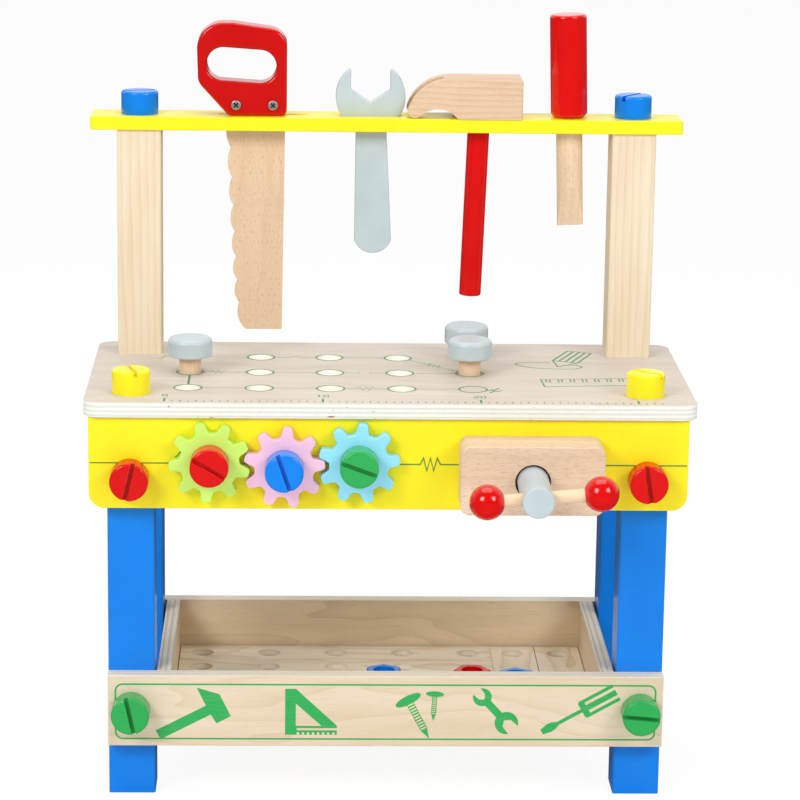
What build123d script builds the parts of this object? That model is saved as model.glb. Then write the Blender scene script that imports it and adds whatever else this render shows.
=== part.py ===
from build123d import *
from math import atan2, cos, degrees, radians, sin, sqrt
import os

os.makedirs("parts", exist_ok=True)

# Toy workbench with a tool rack, gears, a vise and a parts tray.  Millimetres.
# X runs to the right, Y to the back, Z up.  The origin is on the floor, under
# the middle of the whole bench as it stands, so the front faces -Y.

# ---------------------------------------------------------------- driving sizes

cut_past = 1.0              # how far a cutter runs past the face that it opens

# tabletop and legs
bench_height = 264.0
top_width = 388.2
top_shift = 0.9             # tabletop to the right of the legs' middle
top_depth = 182.0
top_thickness = 10.0
top_corner_radius = 10.0
leg_size = 30.0
leg_inset = 15.1            # half the tabletop's width less what reaches a leg's outer face
leg_edge_radius = 1.5
front_overhang = 3.0        # tabletop past the front apron
board_thickness = 11.0      # aprons and tray panels
board_edge_radius = 0.8

# aprons under the tabletop
apron_end_inset = 4.1       # each apron is shorter than the tabletop by twice this
apron_height = 59.5
apron_corner_radius = 10.0
apron_bolt_drop = 49.3      # from the tabletop's upper face to the bolts

# tray
tray_height = 47.5          # panels and side boards
tray_floor_gap = 36.0       # from the floor to the tray's lower edge
tray_side_thickness = 9.0
tray_side_gap = 1.5         # between a side board and the legs
tray_base_thickness = 4.0
tray_base_lift = 4.2        # base board above the panels' lower edge
tray_groove_depth = 3.0
tray_groove_clearance = 0.1
tray_bolt_height = 24.2     # above the panels' lower edge
tray_dowel_diameter = 5.0
tray_dowel_depth_panel = 7.0
tray_dowel_depth_side = 15.0
tray_dowel_spacing = 24.0

# peg holes in the tabletop, one grid place left blank
hole_pitch = 45.75
peg_columns = 5
peg_rows = 3
peg_hole_diameter = 15.8
peg_first_column_inset = 65.5   # first column from half the tabletop's width to the left
peg_first_row_depth = 42.6  # behind the tabletop's front edge
blank_column = 4
blank_row = 0

# posts and tool rack
post_size = 29.2
post_height = 151.5
post_edge_radius = 1.2
post_dowel_diameter = 12.0
post_dowel_reach = 25.0     # into the post and into the leg
rack_end_reach = 32.0       # rack past a post's middle
rack_depth = 34.0
rack_thickness = 9.0
rack_corner_radius = 2.0

# big slotted bolts
bolt_head_diameter = 24.5
bolt_head_height = 14.5
top_bolt_head_height = 15.3  # on the tabletop and the rack
bolt_head_edge_radius = 1.8
bolt_slot_width = 2.8
bolt_slot_depth = 3.5
bolt_shank_diameter = 14.0
bolt_shank_length = 36.0
bolt_tip_chamfer = 1.5
bolt_fit = 0.05             # radial, shank in its hole
bolt_hole_spare = 1.0       # hole past the shank's end
top_bolt_depth = 29.0       # tabletop bolts behind the tabletop's front edge
gear_bolt_reach = 6.0       # a gear bolt's tip past the apron's back face
bolt_slot_angles = {        # as they were last turned, degrees
    "tabletop_bolt_left": 107,
    "tabletop_bolt_right": 140,
    "rack_bolt_left": 15,
    "rack_bolt_right": 52,
    "apron_bolt_left": 77,
    "apron_bolt_right": 99,
    "tray_bolt_left": 102,
    "tray_bolt_right": -5,
    "rear_apron_bolt_left": 40,
    "rear_apron_bolt_right": 120,
    "rear_tray_bolt_left": 85,
    "rear_tray_bolt_right": 20,
    "gear_bolt_left": -30,
    "gear_bolt_middle": 109,
    "gear_bolt_right": -20,
}

# gears
gear_teeth = 9
gear_pitch = 47.1           # between neighbouring axes
gear_root_radius = 19.0
gear_outer_radius = 26.0
gear_tooth_root_width = 8.8
gear_tooth_tip_width = 5.6
gear_corner_radius = 2.2
gear_thickness = 8.0
gear_edge_radius = 0.8
gear_first_inset = 50.6     # left gear's axis from the left apron bolt's
gear_axis_drop = 37.8       # below the tabletop's upper face
gear_middle_sag = 3.0       # middle gear's axis below its neighbours'
gear_left_turn = 5.0        # a valley of the left gear, up from the X axis
gear_play_turn = 2.5        # turned back within the teeth's play
gear_bore_fit = 0.1         # radial, on the bolt's shank
gear_side_play = 0.4        # behind the gear and in front of it

# vise
vise_left_share = 0.682     # of the free width beside the vise, how much lies to its left
vise_axis_drop = 43.4
jaw_width = 90.4
jaw_height = 44.4
jaw_rise = 0.5              # jaws' middle above the screw's axis
jaw_thickness = 14.8
jaw_corner_radius = 6.0
jaw_edge_radius = 1.0
jaw_face_gap = 0.1          # between the closed jaws
jaw_bore_diameter = 22.5
vise_screw_diameter = 19.8
vise_screw_nose = 50.4      # screw past the moving jaw's front face
vise_screw_tail = 26.0      # screw past the apron's back face, jaws closed
vise_screw_fit = 0.08
vise_screw_nose_radius = 1.2
vise_thread_pitch = 6.0
vise_thread_depth = 1.6
vise_thread_floor_width = 1.0
garter_pin_diameter = 4.0
garter_pin_fit = 0.1
garter_groove_depth = 2.6
garter_pin_rise = 12.0      # above the screw's axis
guide_diameter = 8.0
guide_spacing = 62.0
guide_seat_depth = 11.0
guide_tail = 10.0           # guide past the apron's back face, jaws closed
guide_fit = 0.1
handle_diameter = 8.2
handle_fit = 0.1
handle_setback = 11.7       # handle behind the screw's nose
handle_ball_diameter = 22.2
handle_ball_spacing = 70.3
handle_ball_seat = 7.0
handle_tilt = 4.6           # right end up, degrees
handle_shift = 4.2          # to the right, as it rests

# hammer pegs
peg_head_diameter = 29.0
peg_head_height = 12.5
peg_head_edge_radius = 3.4
peg_head_under_radius = 1.0
peg_stem_diameter = 14.4
peg_standing_height = 11.0  # head above the tabletop
peg_neck_below = 3.0        # thin neck goes on into the hole
peg_body_length = 21.0
peg_body_fit = 0.08
peg_tip_chamfer = 2.0

# saw
saw_thickness = 20.0
saw_blade_thickness = 5.0
saw_blade_width = 39.6
saw_tang_inset = 6.5        # blade's part in the handle, from the toothed side
saw_blade_drop = 145.3      # blade's end below the rack's upper face
saw_blade_seat = 17.0
saw_edge_radius = 2.2
saw_right_inset = 97.4      # saw's back from the left post's middle
saw_handle_width = 59.8
saw_handle_height = 61.5
saw_shoulder_drop = 5.0     # right shoulder below the handle's top
saw_crown_x = 23.9          # highest corner, from the handle's left side
saw_brow_drop = 0.3         # left side's upper corner below the top
saw_chin_inset = 1.2        # left side's lower corner
saw_chin_height = 22.0
saw_heel_x = 21.3           # handle's lower left corner, from its left side
saw_scallops = 7
saw_scallop_length = 20.9   # the uppermost one
saw_scallop_shrink = 1.0    # each next one is shorter by this much
saw_scallop_depth = 2.8
saw_first_scallop_drop = 1.6
saw_grip_length = 46.0
saw_grip_height = 21.8
saw_grip_tilt = -3.8
saw_grip_center_height = 33.6
saw_slot_length = 59.0
saw_slot_right = 14.5       # rack slot past the blade's back edge
saw_slot_fit = 0.5          # each side of the blade
saw_screw_head_diameter = 6.6
saw_screw_shank_diameter = 3.0
saw_screw_length = 17.0
saw_screw_spacing = 24.4
saw_screw_height = 7.3      # above the handle's lower edge
saw_screw_inset = 9.1       # from the handle's right side to the near screw
saw_screw_head_height = 1.2
saw_screw_dome_radius = 0.8
saw_screw_cross_length = 4.0
saw_screw_cross_width = 1.0
saw_screw_cross_depth = 0.9
saw_blade_inset = 1.0       # blade's back behind the handle's right side
saw_back_lean = 1.6         # blade's back, from the rack down to the end
saw_valley_lean = 0.95      # blade narrows by this much with each scallop
saw_toe_reach = 4.3         # from the last valley to the blade's end
saw_toe_bulge = 1.0         # toe's arc past the last valley
saw_toe_bulge_height = 9.0  # above the blade's end
saw_shoulder_radius = 12.0
saw_crown_radius = 10.0
saw_brow_radius = 17.0
saw_heel_radius = 8.0
saw_back_corner_radius = 4.0

# wrench
wrench_inset = 175.05       # wrench's middle from the right post's middle
wrench_head_radius = 23.1
wrench_thickness = 9.5
wrench_jaw_gap = 26.2
wrench_jaw_height = 4.7     # jaw's shoulder above the head's centre
wrench_jaw_point = 4.0      # jaw's V below the head's centre
wrench_horn_radius = 1.0
wrench_neck_width = 19.8
wrench_tail_width = 24.6
wrench_length = 105.0       # from the head's centre to the tail's end
wrench_tail_arc_height = 8.7
wrench_lean = 1.4
wrench_edge_radius = 0.8
wrench_slot_length = 38.8
wrench_slot_fit = 0.5
wrench_seat_gap = 0.12

# hammer
hammer_wrench_gap = 72.45   # hammer's handle from the wrench's middle
hammer_handle_diameter = 14.6
hammer_handle_drop = 121.1  # handle's end below the rack's upper face
hammer_handle_seat = 17.0
hammer_lean = 1.9
hammer_hole_fit = 1.1
hammer_head_height = 26.0
hammer_block_reach = 28.0   # head's flat end, to the right of the handle's middle
hammer_block_inset = 14.6   # where the claw starts, to its left
hammer_block_depth = 35.0
hammer_claw_reach = 48.2    # claw's tip, to its left
hammer_claw_tip_depth = 27.0
hammer_claw_slot_width = 11.5   # at the tips
hammer_claw_slot_end_width = 8.5
hammer_claw_slot_depth = 24.0
hammer_edge_radius = 1.4
hammer_handle_end_radius = 1.2
hammer_crown_inset = 19.4   # where the flat top turns down into the claw
hammer_cheek_reach = 10.4   # a point of the claw's upper curve, from its tip
hammer_cheek_height = 19.8
hammer_tip_height = 4.8     # the claw's blunt tip, where its upper curve ends
hammer_tip_round_reach = 3.9    # lowest place of the round tip
hammer_tip_round_height = 0.4
hammer_arch_start_reach = 8.5   # hollow under the claw, from the tip
hammer_arch_start_height = 1.6
hammer_arch_reach = 21.7    # highest place of the hollow
hammer_arch_height = 6.4

# screwdriver
driver_inset = 42.6         # screwdriver's axis from the right post's middle
driver_handle_diameter = 24.3
driver_handle_height = 68.2
driver_lean = 1.9           # top to the left, degrees
driver_seat_gap = 0.02      # between the leaning handle's lowest edge and the rack
driver_handle_chamfer = 2.0
driver_shaft_diameter = 17.4
driver_shaft_drop = 72.6    # shaft's end below the rack's upper face
driver_shaft_seat = 25.0
driver_hole_fit = 0.6
driver_facet_length = 27.0
driver_tip_thickness = 4.0

# loose building strips and nuts in the tray
strip_width = 30.5
strip_thickness = 6.8
strip_hole_diameter = 15.2
strip_end_margin = 15.5     # from the last hole's centre to the strip's end
strip_corner_radius = 1.0
strip_gap = 0.6             # between neighbours and to the tray's side boards
strip_corner_gap = 0.2      # from the long strips' ends to the short strips
strip_back_gap = 2.7        # to the tray's rear panel
long_strip_holes = 5
short_strip_holes = 3
nut_across_corners = 26.4
nut_height = 15.5
nut_bore_diameter = 14.4
nut_edge_chamfer = 1.2
loose_nuts = {              # left of the right side board, behind the front panel, turn
    "blue_nut_middle": (137.7, 76.0, 30),
    "red_nut": (78.4, 76.0, 0),
}
strip_nut_inset = 50.5      # nut on a short strip: left of the right side board
strip_nut_end_gap = 17.2    # and behind the strip's front end
strip_nut_turn = 30

# ---------------------------------------------------------------- derived places

# depths are measured from the tabletop's front edge, drops from its upper face
handle_reach = vise_screw_nose + 2 * jaw_thickness + jaw_face_gap - front_overhang
front_edge = -(top_depth + bolt_head_height - handle_reach) / 2
back_edge = front_edge + top_depth
top_under = bench_height - top_thickness

front_board_face = front_edge + front_overhang
front_board_back = front_board_face + board_thickness
rear_board_face = back_edge
rear_board_front = rear_board_face - board_thickness
leg_center_x = top_width / 2 - leg_inset - leg_size / 2
apron_width = top_width - 2 * apron_end_inset
rack_width = 2 * (leg_center_x + rack_end_reach)
front_leg_y = front_board_back + leg_size / 2
rear_leg_y = rear_board_front - leg_size / 2
rack_y = rear_leg_y
post_top = bench_height + post_height
rack_top = post_top + rack_thickness

tray_low = tray_floor_gap
tray_top = tray_low + tray_height
tray_panel_width = 2 * leg_center_x + leg_size
tray_side_x = leg_center_x - leg_size / 2 - tray_side_gap - tray_side_thickness / 2
tray_inner_x = tray_side_x - tray_side_thickness / 2
tray_base_low = tray_low + tray_base_lift
tray_base_top = tray_base_low + tray_base_thickness
tray_mid_y = (front_board_back + rear_board_front) / 2
tray_inner_depth = rear_board_front - front_board_back
tray_bolt_z = tray_low + tray_bolt_height

apron_bolt_z = bench_height - apron_bolt_drop
apron_low = top_under - apron_height
gear_axis_z = bench_height - gear_axis_drop
gear_back = front_board_face - gear_side_play
gear_front = gear_back - gear_thickness
gear_seat = gear_front - gear_side_play
gear_first_axis_x = gear_first_inset - leg_center_x
gear_axes = [
    (gear_first_axis_x, gear_axis_z),
    (gear_first_axis_x + gear_pitch, gear_axis_z - gear_middle_sag),
    (gear_first_axis_x + 2 * gear_pitch, gear_axis_z),
]

# the vise shares out the free width between the right gear and the right bolt
vise_space_left = gear_axes[-1][0] + gear_outer_radius
vise_space_right = leg_center_x - bolt_head_diameter / 2
vise_free_width = vise_space_right - vise_space_left - jaw_width
vise_axis_x = vise_space_left + vise_left_share * vise_free_width + jaw_width / 2
vise_axis_z = bench_height - vise_axis_drop
jaw_low = vise_axis_z + jaw_rise - jaw_height / 2
garter_pin_length = vise_axis_z + garter_pin_rise - jaw_low
fixed_jaw_front = front_board_face - jaw_thickness
moving_jaw_back = fixed_jaw_front - jaw_face_gap
moving_jaw_front = moving_jaw_back - jaw_thickness
screw_nose_y = moving_jaw_front - vise_screw_nose
screw_tail_y = front_board_back + vise_screw_tail
handle_y = screw_nose_y + handle_setback
screw_radius = vise_screw_diameter / 2
garter_y = (moving_jaw_back + moving_jaw_front) / 2
garter_floor = screw_radius - garter_groove_depth
garter_pin_x = vise_axis_x + garter_floor + garter_pin_diameter / 2 + garter_pin_fit

bolt_hole_radius = bolt_shank_diameter / 2 + bolt_fit
bolt_hole_depth = bolt_shank_length + bolt_hole_spare
gear_bolt_shank = board_thickness + gear_thickness + 2 * gear_side_play + gear_bolt_reach
top_bolt_y = front_edge + top_bolt_depth

peg_first_column_x = peg_first_column_inset - top_width / 2
peg_columns_x = [peg_first_column_x + i * hole_pitch for i in range(peg_columns)]
peg_rows_y = [front_edge + peg_first_row_depth + j * hole_pitch for j in range(peg_rows)]
peg_holes = [
    (x, y)
    for i, x in enumerate(peg_columns_x)
    for j, y in enumerate(peg_rows_y)
    if (i, j) != (blank_column, blank_row)
]

# tools on the rack
saw_right_x = saw_right_inset - leg_center_x
wrench_x = leg_center_x - wrench_inset
hammer_handle_x = wrench_x + hammer_wrench_gap
driver_x = leg_center_x - driver_inset


def front_plane(x, y, z):
    """Plane that faces the viewer at the front: local x to the right, local y up."""
    return Plane(origin=(x, y, z), x_dir=(1, 0, 0), z_dir=(0, -1, 0))


def back_plane(x, y, z):
    """Plane that faces backwards: local x to the left, local y up."""
    return Plane(origin=(x, y, z), x_dir=(-1, 0, 0), z_dir=(0, 1, 0))


def top_plane(x, y, z):
    """Plane that faces up."""
    return Plane(origin=(x, y, z), x_dir=(1, 0, 0), z_dir=(0, 0, 1))


def save(piece, name):
    """Label one finished piece and write it."""
    piece.part.label = name
    export_step(piece.part, f"parts/{name}.step")


# ---------------------------------------------------------------- tabletop

with BuildPart() as tabletop:
    with BuildSketch(top_plane(top_shift, (front_edge + back_edge) / 2, top_under)):
        RectangleRounded(top_width, top_depth, top_corner_radius)
    extrude(amount=top_thickness)
    fillet(tabletop.edges().filter_by(Plane.XY), board_edge_radius)
    with BuildSketch(top_plane(0, 0, top_under)):
        with Locations(*peg_holes):
            Circle(peg_hole_diameter / 2)
        with Locations((-leg_center_x, top_bolt_y), (leg_center_x, top_bolt_y)):
            Circle(bolt_hole_radius)
        with Locations((-leg_center_x, rear_leg_y), (leg_center_x, rear_leg_y)):
            Circle(post_dowel_diameter / 2)
    extrude(amount=top_thickness, mode=Mode.SUBTRACT)
save(tabletop, "tabletop")


# ---------------------------------------------------------------- legs and posts

def make_leg(name, x, y, facing):
    """Square leg with blind holes for its bolts, and for a bolt or a dowel on top."""
    toward_board = -1 if facing == "front" else 1
    face_y = y + toward_board * leg_size / 2
    board_plane = front_plane if facing == "front" else back_plane
    side_hole = bolt_hole_depth - board_thickness
    with BuildPart() as leg:
        with BuildSketch(top_plane(x, y, 0)):
            Rectangle(leg_size, leg_size)
        extrude(amount=top_under)
        fillet(leg.edges().filter_by(Axis.Z), leg_edge_radius)
        for bolt_z in (apron_bolt_z, tray_bolt_z):
            with BuildSketch(board_plane(x, face_y, bolt_z)):
                Circle(bolt_hole_radius)
            extrude(amount=-side_hole, mode=Mode.SUBTRACT)
        if facing == "front":
            with BuildSketch(top_plane(x, top_bolt_y, top_under)):
                Circle(bolt_hole_radius)
            extrude(amount=-(bolt_hole_depth - top_thickness), mode=Mode.SUBTRACT)
        else:
            with BuildSketch(top_plane(x, y, top_under)):
                Circle(post_dowel_diameter / 2)
            extrude(amount=-(post_dowel_reach + bolt_hole_spare), mode=Mode.SUBTRACT)
    save(leg, name)


make_leg("front_left_leg", -leg_center_x, front_leg_y, "front")
make_leg("front_right_leg", leg_center_x, front_leg_y, "front")
make_leg("rear_left_leg", -leg_center_x, rear_leg_y, "rear")
make_leg("rear_right_leg", leg_center_x, rear_leg_y, "rear")


def make_post(name, x):
    """Square post on the tabletop, over a rear leg, that carries the rack."""
    with BuildPart() as post:
        with BuildSketch(top_plane(x, rack_y, bench_height)):
            Rectangle(post_size, post_size)
        extrude(amount=post_height)
        fillet(post.edges().filter_by(Axis.Z), post_edge_radius)
        with BuildSketch(top_plane(x, rack_y, bench_height)):
            Circle(post_dowel_diameter / 2)
        extrude(amount=post_dowel_reach + bolt_hole_spare, mode=Mode.SUBTRACT)
        with BuildSketch(top_plane(x, rack_y, post_top)):
            Circle(bolt_hole_radius)
        extrude(amount=-(bolt_hole_depth - rack_thickness), mode=Mode.SUBTRACT)
    save(post, name)


make_post("left_post", -leg_center_x)
make_post("right_post", leg_center_x)

with BuildPart() as post_dowels:
    with BuildSketch(top_plane(0, rack_y, top_under - post_dowel_reach)):
        with Locations((-leg_center_x, 0), (leg_center_x, 0)):
            Circle(post_dowel_diameter / 2)
    extrude(amount=top_thickness + 2 * post_dowel_reach)
save(post_dowels, "post_dowels")


# ---------------------------------------------------------------- aprons

with BuildPart() as front_apron:
    with BuildSketch(front_plane(0, front_board_back, apron_low + apron_height / 2)) as apron_outline:
        Rectangle(apron_width, apron_height)
        fillet(apron_outline.vertices().group_by(Axis.Y)[0], apron_corner_radius)
    extrude(amount=board_thickness)
    fillet(front_apron.faces().sort_by(Axis.Y)[0].edges(), board_edge_radius)
    with BuildSketch(front_plane(0, front_board_back, 0)):
        with Locations((-leg_center_x, apron_bolt_z), (leg_center_x, apron_bolt_z)):
            Circle(bolt_hole_radius)
        with Locations(*gear_axes):
            Circle(bolt_hole_radius)
        with Locations((vise_axis_x, vise_axis_z)):
            Circle(screw_radius + vise_screw_fit)
            with Locations((-guide_spacing / 2, 0), (guide_spacing / 2, 0)):
                Circle(guide_diameter / 2 + guide_fit)
    extrude(amount=board_thickness, mode=Mode.SUBTRACT)
save(front_apron, "front_apron")

with BuildPart() as rear_apron:
    with BuildSketch(back_plane(0, rear_board_front, apron_low + apron_height / 2)) as apron_outline:
        Rectangle(apron_width, apron_height)
        fillet(apron_outline.vertices().group_by(Axis.Y)[0], apron_corner_radius)
    extrude(amount=board_thickness)
    fillet(rear_apron.faces().sort_by(Axis.Y)[-1].edges(), board_edge_radius)
    with BuildSketch(back_plane(0, rear_board_front, 0)):
        with Locations((-leg_center_x, apron_bolt_z), (leg_center_x, apron_bolt_z)):
            Circle(bolt_hole_radius)
    extrude(amount=board_thickness, mode=Mode.SUBTRACT)
save(rear_apron, "rear_apron")


# ---------------------------------------------------------------- tray

def make_tray_panel(name, board_plane, inner_y):
    """Panel across two legs, grooved inside for the base board, drilled for dowels."""
    with BuildPart() as panel:
        with BuildSketch(board_plane(0, inner_y, tray_low + tray_height / 2)):
            Rectangle(tray_panel_width, tray_height)
        extrude(amount=board_thickness)
        outward = Axis(origin=(0, inner_y, 0), direction=board_plane(0, 0, 0).z_dir)
        fillet(panel.faces().sort_by(outward)[-1].edges(), board_edge_radius)
        with BuildSketch(board_plane(0, inner_y, 0)):
            with Locations((-leg_center_x, tray_bolt_z), (leg_center_x, tray_bolt_z)):
                Circle(bolt_hole_radius)
        extrude(amount=board_thickness, mode=Mode.SUBTRACT)
        with BuildSketch(board_plane(0, inner_y, 0)):
            with Locations((0, tray_base_low + tray_base_thickness / 2)):
                Rectangle(
                    2 * (tray_inner_x + tray_groove_depth),
                    tray_base_thickness + 2 * tray_groove_clearance,
                )
        extrude(amount=tray_groove_depth, mode=Mode.SUBTRACT)
        with BuildSketch(board_plane(0, inner_y, tray_low + tray_height / 2)):
            with GridLocations(2 * tray_side_x, tray_dowel_spacing, 2, 2):
                Circle(tray_dowel_diameter / 2)
        extrude(amount=tray_dowel_depth_panel, mode=Mode.SUBTRACT)
    save(panel, name)


make_tray_panel("front_tray_panel", front_plane, front_board_back)
make_tray_panel("rear_tray_panel", back_plane, rear_board_front)


def make_tray_side(name, side):
    """Side board between the two panels, grooved inside for the base board."""
    inner_face_x = side * tray_inner_x
    with BuildPart() as board:
        with BuildSketch(top_plane(side * tray_side_x, tray_mid_y, tray_low)):
            Rectangle(tray_side_thickness, tray_inner_depth)
        extrude(amount=tray_height)
        with BuildSketch(top_plane(inner_face_x, tray_mid_y, tray_base_low - tray_groove_clearance)):
            Rectangle(2 * tray_groove_depth, tray_inner_depth)
        extrude(amount=tray_base_thickness + 2 * tray_groove_clearance, mode=Mode.SUBTRACT)
        for plane, end_y in ((front_plane, front_board_back), (back_plane, rear_board_front)):
            with BuildSketch(plane(side * tray_side_x, end_y, tray_low + tray_height / 2)):
                with GridLocations(0, tray_dowel_spacing, 1, 2):
                    Circle(tray_dowel_diameter / 2)
            extrude(amount=-tray_dowel_depth_side, mode=Mode.SUBTRACT)
    save(board, name)


make_tray_side("tray_left_side", -1)
make_tray_side("tray_right_side", 1)

with BuildPart() as tray_base:
    base_width = 2 * (tray_inner_x + tray_groove_depth - tray_groove_clearance)
    base_depth = tray_inner_depth + 2 * (tray_groove_depth - tray_groove_clearance)
    with BuildSketch(top_plane(0, tray_mid_y, tray_base_low)):
        Rectangle(base_width, base_depth)
    extrude(amount=tray_base_thickness)
save(tray_base, "tray_base")

with BuildPart() as tray_dowels:
    for plane, end_y in ((front_plane, front_board_back), (back_plane, rear_board_front)):
        with BuildSketch(plane(0, end_y, tray_low + tray_height / 2).offset(-tray_dowel_depth_side)):
            with GridLocations(2 * tray_side_x, tray_dowel_spacing, 2, 2):
                Circle(tray_dowel_diameter / 2)
        extrude(amount=tray_dowel_depth_side + tray_dowel_depth_panel)
save(tray_dowels, "tray_dowels")


# ---------------------------------------------------------------- tool rack

blade_slot_width = saw_blade_thickness + 2 * saw_slot_fit
blade_slot_x = saw_right_x + saw_slot_right - saw_slot_length / 2

with BuildPart() as tool_rack:
    with BuildSketch(top_plane(0, rack_y, post_top)):
        RectangleRounded(rack_width, rack_depth, rack_corner_radius)
    extrude(amount=rack_thickness)
    fillet(tool_rack.edges().filter_by(Plane.XY), board_edge_radius)
    with BuildSketch(top_plane(0, rack_y, post_top)):
        with Locations((-leg_center_x, 0), (leg_center_x, 0)):
            Circle(bolt_hole_radius)
        with Locations((blade_slot_x, 0)):
            Rectangle(saw_slot_length, blade_slot_width)
        with Locations((wrench_x, 0)):
            Rectangle(wrench_slot_length, wrench_thickness + 2 * wrench_slot_fit)
        with Locations((hammer_handle_x, 0)):
            Circle(hammer_handle_diameter / 2 + hammer_hole_fit)
        with Locations((driver_x, 0)):
            Circle(driver_shaft_diameter / 2 + driver_hole_fit)
    extrude(amount=rack_thickness, mode=Mode.SUBTRACT)
save(tool_rack, "tool_rack")


# ---------------------------------------------------------------- slotted bolts

def make_bolt(name, seat, head_height=bolt_head_height, shank_length=bolt_shank_length):
    """Bolt whose head stands on the seat plane, with a slot right across the head."""
    outward = Axis(origin=seat.origin, direction=seat.z_dir)
    with BuildPart() as bolt:
        with BuildSketch(seat):
            Circle(bolt_head_diameter / 2)
        extrude(amount=head_height)
        fillet(bolt.faces().sort_by(outward)[-1].edges(), bolt_head_edge_radius)
        with BuildSketch(seat.offset(head_height)):
            Rectangle(2 * bolt_head_diameter, bolt_slot_width, rotation=bolt_slot_angles[name])
        extrude(amount=-bolt_slot_depth, mode=Mode.SUBTRACT)
        with BuildSketch(seat):
            Circle(bolt_shank_diameter / 2)
        extrude(amount=-shank_length)
        chamfer(bolt.faces().sort_by(outward)[0].edges(), bolt_tip_chamfer)
    save(bolt, name)


for place, x in (("left", -leg_center_x), ("right", leg_center_x)):
    make_bolt(f"tabletop_bolt_{place}", top_plane(x, top_bolt_y, bench_height), top_bolt_head_height)
    make_bolt(f"rack_bolt_{place}", top_plane(x, rack_y, rack_top), top_bolt_head_height)
    make_bolt(f"apron_bolt_{place}", front_plane(x, front_board_face, apron_bolt_z))
    make_bolt(f"tray_bolt_{place}", front_plane(x, front_board_face, tray_bolt_z))
    make_bolt(f"rear_apron_bolt_{place}", back_plane(x, rear_board_face, apron_bolt_z))
    make_bolt(f"rear_tray_bolt_{place}", back_plane(x, rear_board_face, tray_bolt_z))


# ---------------------------------------------------------------- gears

def gear_outline_points(tooth_angle):
    """Corners of the gear's outline: valley, flank, tip, flank, round all teeth."""
    valley_half_turn = 180 / gear_teeth - degrees(atan2(gear_tooth_root_width / 2, gear_root_radius))
    tip_half_turn = degrees(atan2(gear_tooth_tip_width / 2, gear_outer_radius))
    points = []
    for tooth in range(gear_teeth):
        tooth_center = tooth_angle + tooth * 360 / gear_teeth
        valley_center = tooth_center + 180 / gear_teeth
        points.append((gear_outer_radius, tooth_center - tip_half_turn))
        points.append((gear_outer_radius, tooth_center + tip_half_turn))
        points.append((gear_root_radius, valley_center - valley_half_turn))
        points.append((gear_root_radius, valley_center + valley_half_turn))
    return [(radius * cos(radians(turn)), radius * sin(radians(turn))) for radius, turn in points]


def make_gear(name, axis_xz, tooth_angle):
    """Spur gear with rounded teeth, one of them at the given angle from the X axis."""
    x, z = axis_xz
    with BuildPart() as gear:
        with BuildSketch(front_plane(x, gear_back, z)) as outline:
            Polygon(*gear_outline_points(tooth_angle))
            fillet(outline.vertices(), gear_corner_radius)
        extrude(amount=gear_thickness)
        fillet(gear.faces().sort_by(Axis.Y)[0].edges(), gear_edge_radius)
        with BuildSketch(front_plane(x, gear_back, z)):
            Circle(bolt_shank_diameter / 2 + gear_bore_fit)
        extrude(amount=gear_thickness, mode=Mode.SUBTRACT)
    save(gear, name)


# a valley of one gear faces a tooth of the next across their line of centres
tooth_step = 360 / gear_teeth
sag_angle = degrees(atan2(gear_middle_sag, gear_pitch))
left_tooth = gear_left_turn + tooth_step / 2
middle_tooth = (180 - 2 * sag_angle - gear_left_turn - gear_play_turn) % tooth_step
right_tooth = 180 + 2 * sag_angle - middle_tooth + gear_play_turn + tooth_step / 2
make_gear("gear_left", gear_axes[0], left_tooth)
make_gear("gear_middle", gear_axes[1], middle_tooth)
make_gear("gear_right", gear_axes[2], right_tooth)

for (axis_x, axis_z), place in zip(gear_axes, ("left", "middle", "right")):
    gear_bolt_seat = front_plane(axis_x, gear_seat, axis_z)
    make_bolt(f"gear_bolt_{place}", gear_bolt_seat, shank_length=gear_bolt_shank)


# ---------------------------------------------------------------- vise

def jaw_block(back_y):
    """Plain jaw block with rounded corners, its back at the given depth."""
    with BuildPart() as block:
        with BuildSketch(front_plane(vise_axis_x, back_y, vise_axis_z + jaw_rise)):
            RectangleRounded(jaw_width, jaw_height, jaw_corner_radius)
        extrude(amount=jaw_thickness)
        fillet(block.faces().sort_by(Axis.Y)[0].edges(), jaw_edge_radius)
    return block.part


with BuildPart() as vise_fixed_jaw:
    add(jaw_block(front_board_face))
    with BuildSketch(front_plane(vise_axis_x, front_board_face, vise_axis_z)):
        Circle(screw_radius + vise_screw_fit)
        with GridLocations(guide_spacing, 0, 2, 1):
            Circle(guide_diameter / 2 + guide_fit)
    extrude(amount=jaw_thickness, mode=Mode.SUBTRACT)
save(vise_fixed_jaw, "vise_fixed_jaw")

with BuildPart() as vise_jaw:
    add(jaw_block(moving_jaw_back))
    with BuildSketch(front_plane(vise_axis_x, moving_jaw_back, vise_axis_z)):
        Circle(jaw_bore_diameter / 2)
    extrude(amount=jaw_thickness, mode=Mode.SUBTRACT)
    with BuildSketch(front_plane(vise_axis_x, moving_jaw_back, vise_axis_z)):
        with GridLocations(guide_spacing, 0, 2, 1):
            Circle(guide_diameter / 2)
    extrude(amount=guide_seat_depth, mode=Mode.SUBTRACT)
    with BuildSketch(top_plane(garter_pin_x, garter_y, jaw_low)):
        Circle(garter_pin_diameter / 2)
    extrude(amount=garter_pin_length, mode=Mode.SUBTRACT)
save(vise_jaw, "vise_jaw")

with BuildPart() as vise_guides:
    with BuildSketch(front_plane(vise_axis_x, front_board_back + guide_tail, vise_axis_z)):
        with GridLocations(guide_spacing, 0, 2, 1):
            Circle(guide_diameter / 2)
    extrude(amount=front_board_back + guide_tail - (moving_jaw_back - guide_seat_depth))
save(vise_guides, "vise_guides")

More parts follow.
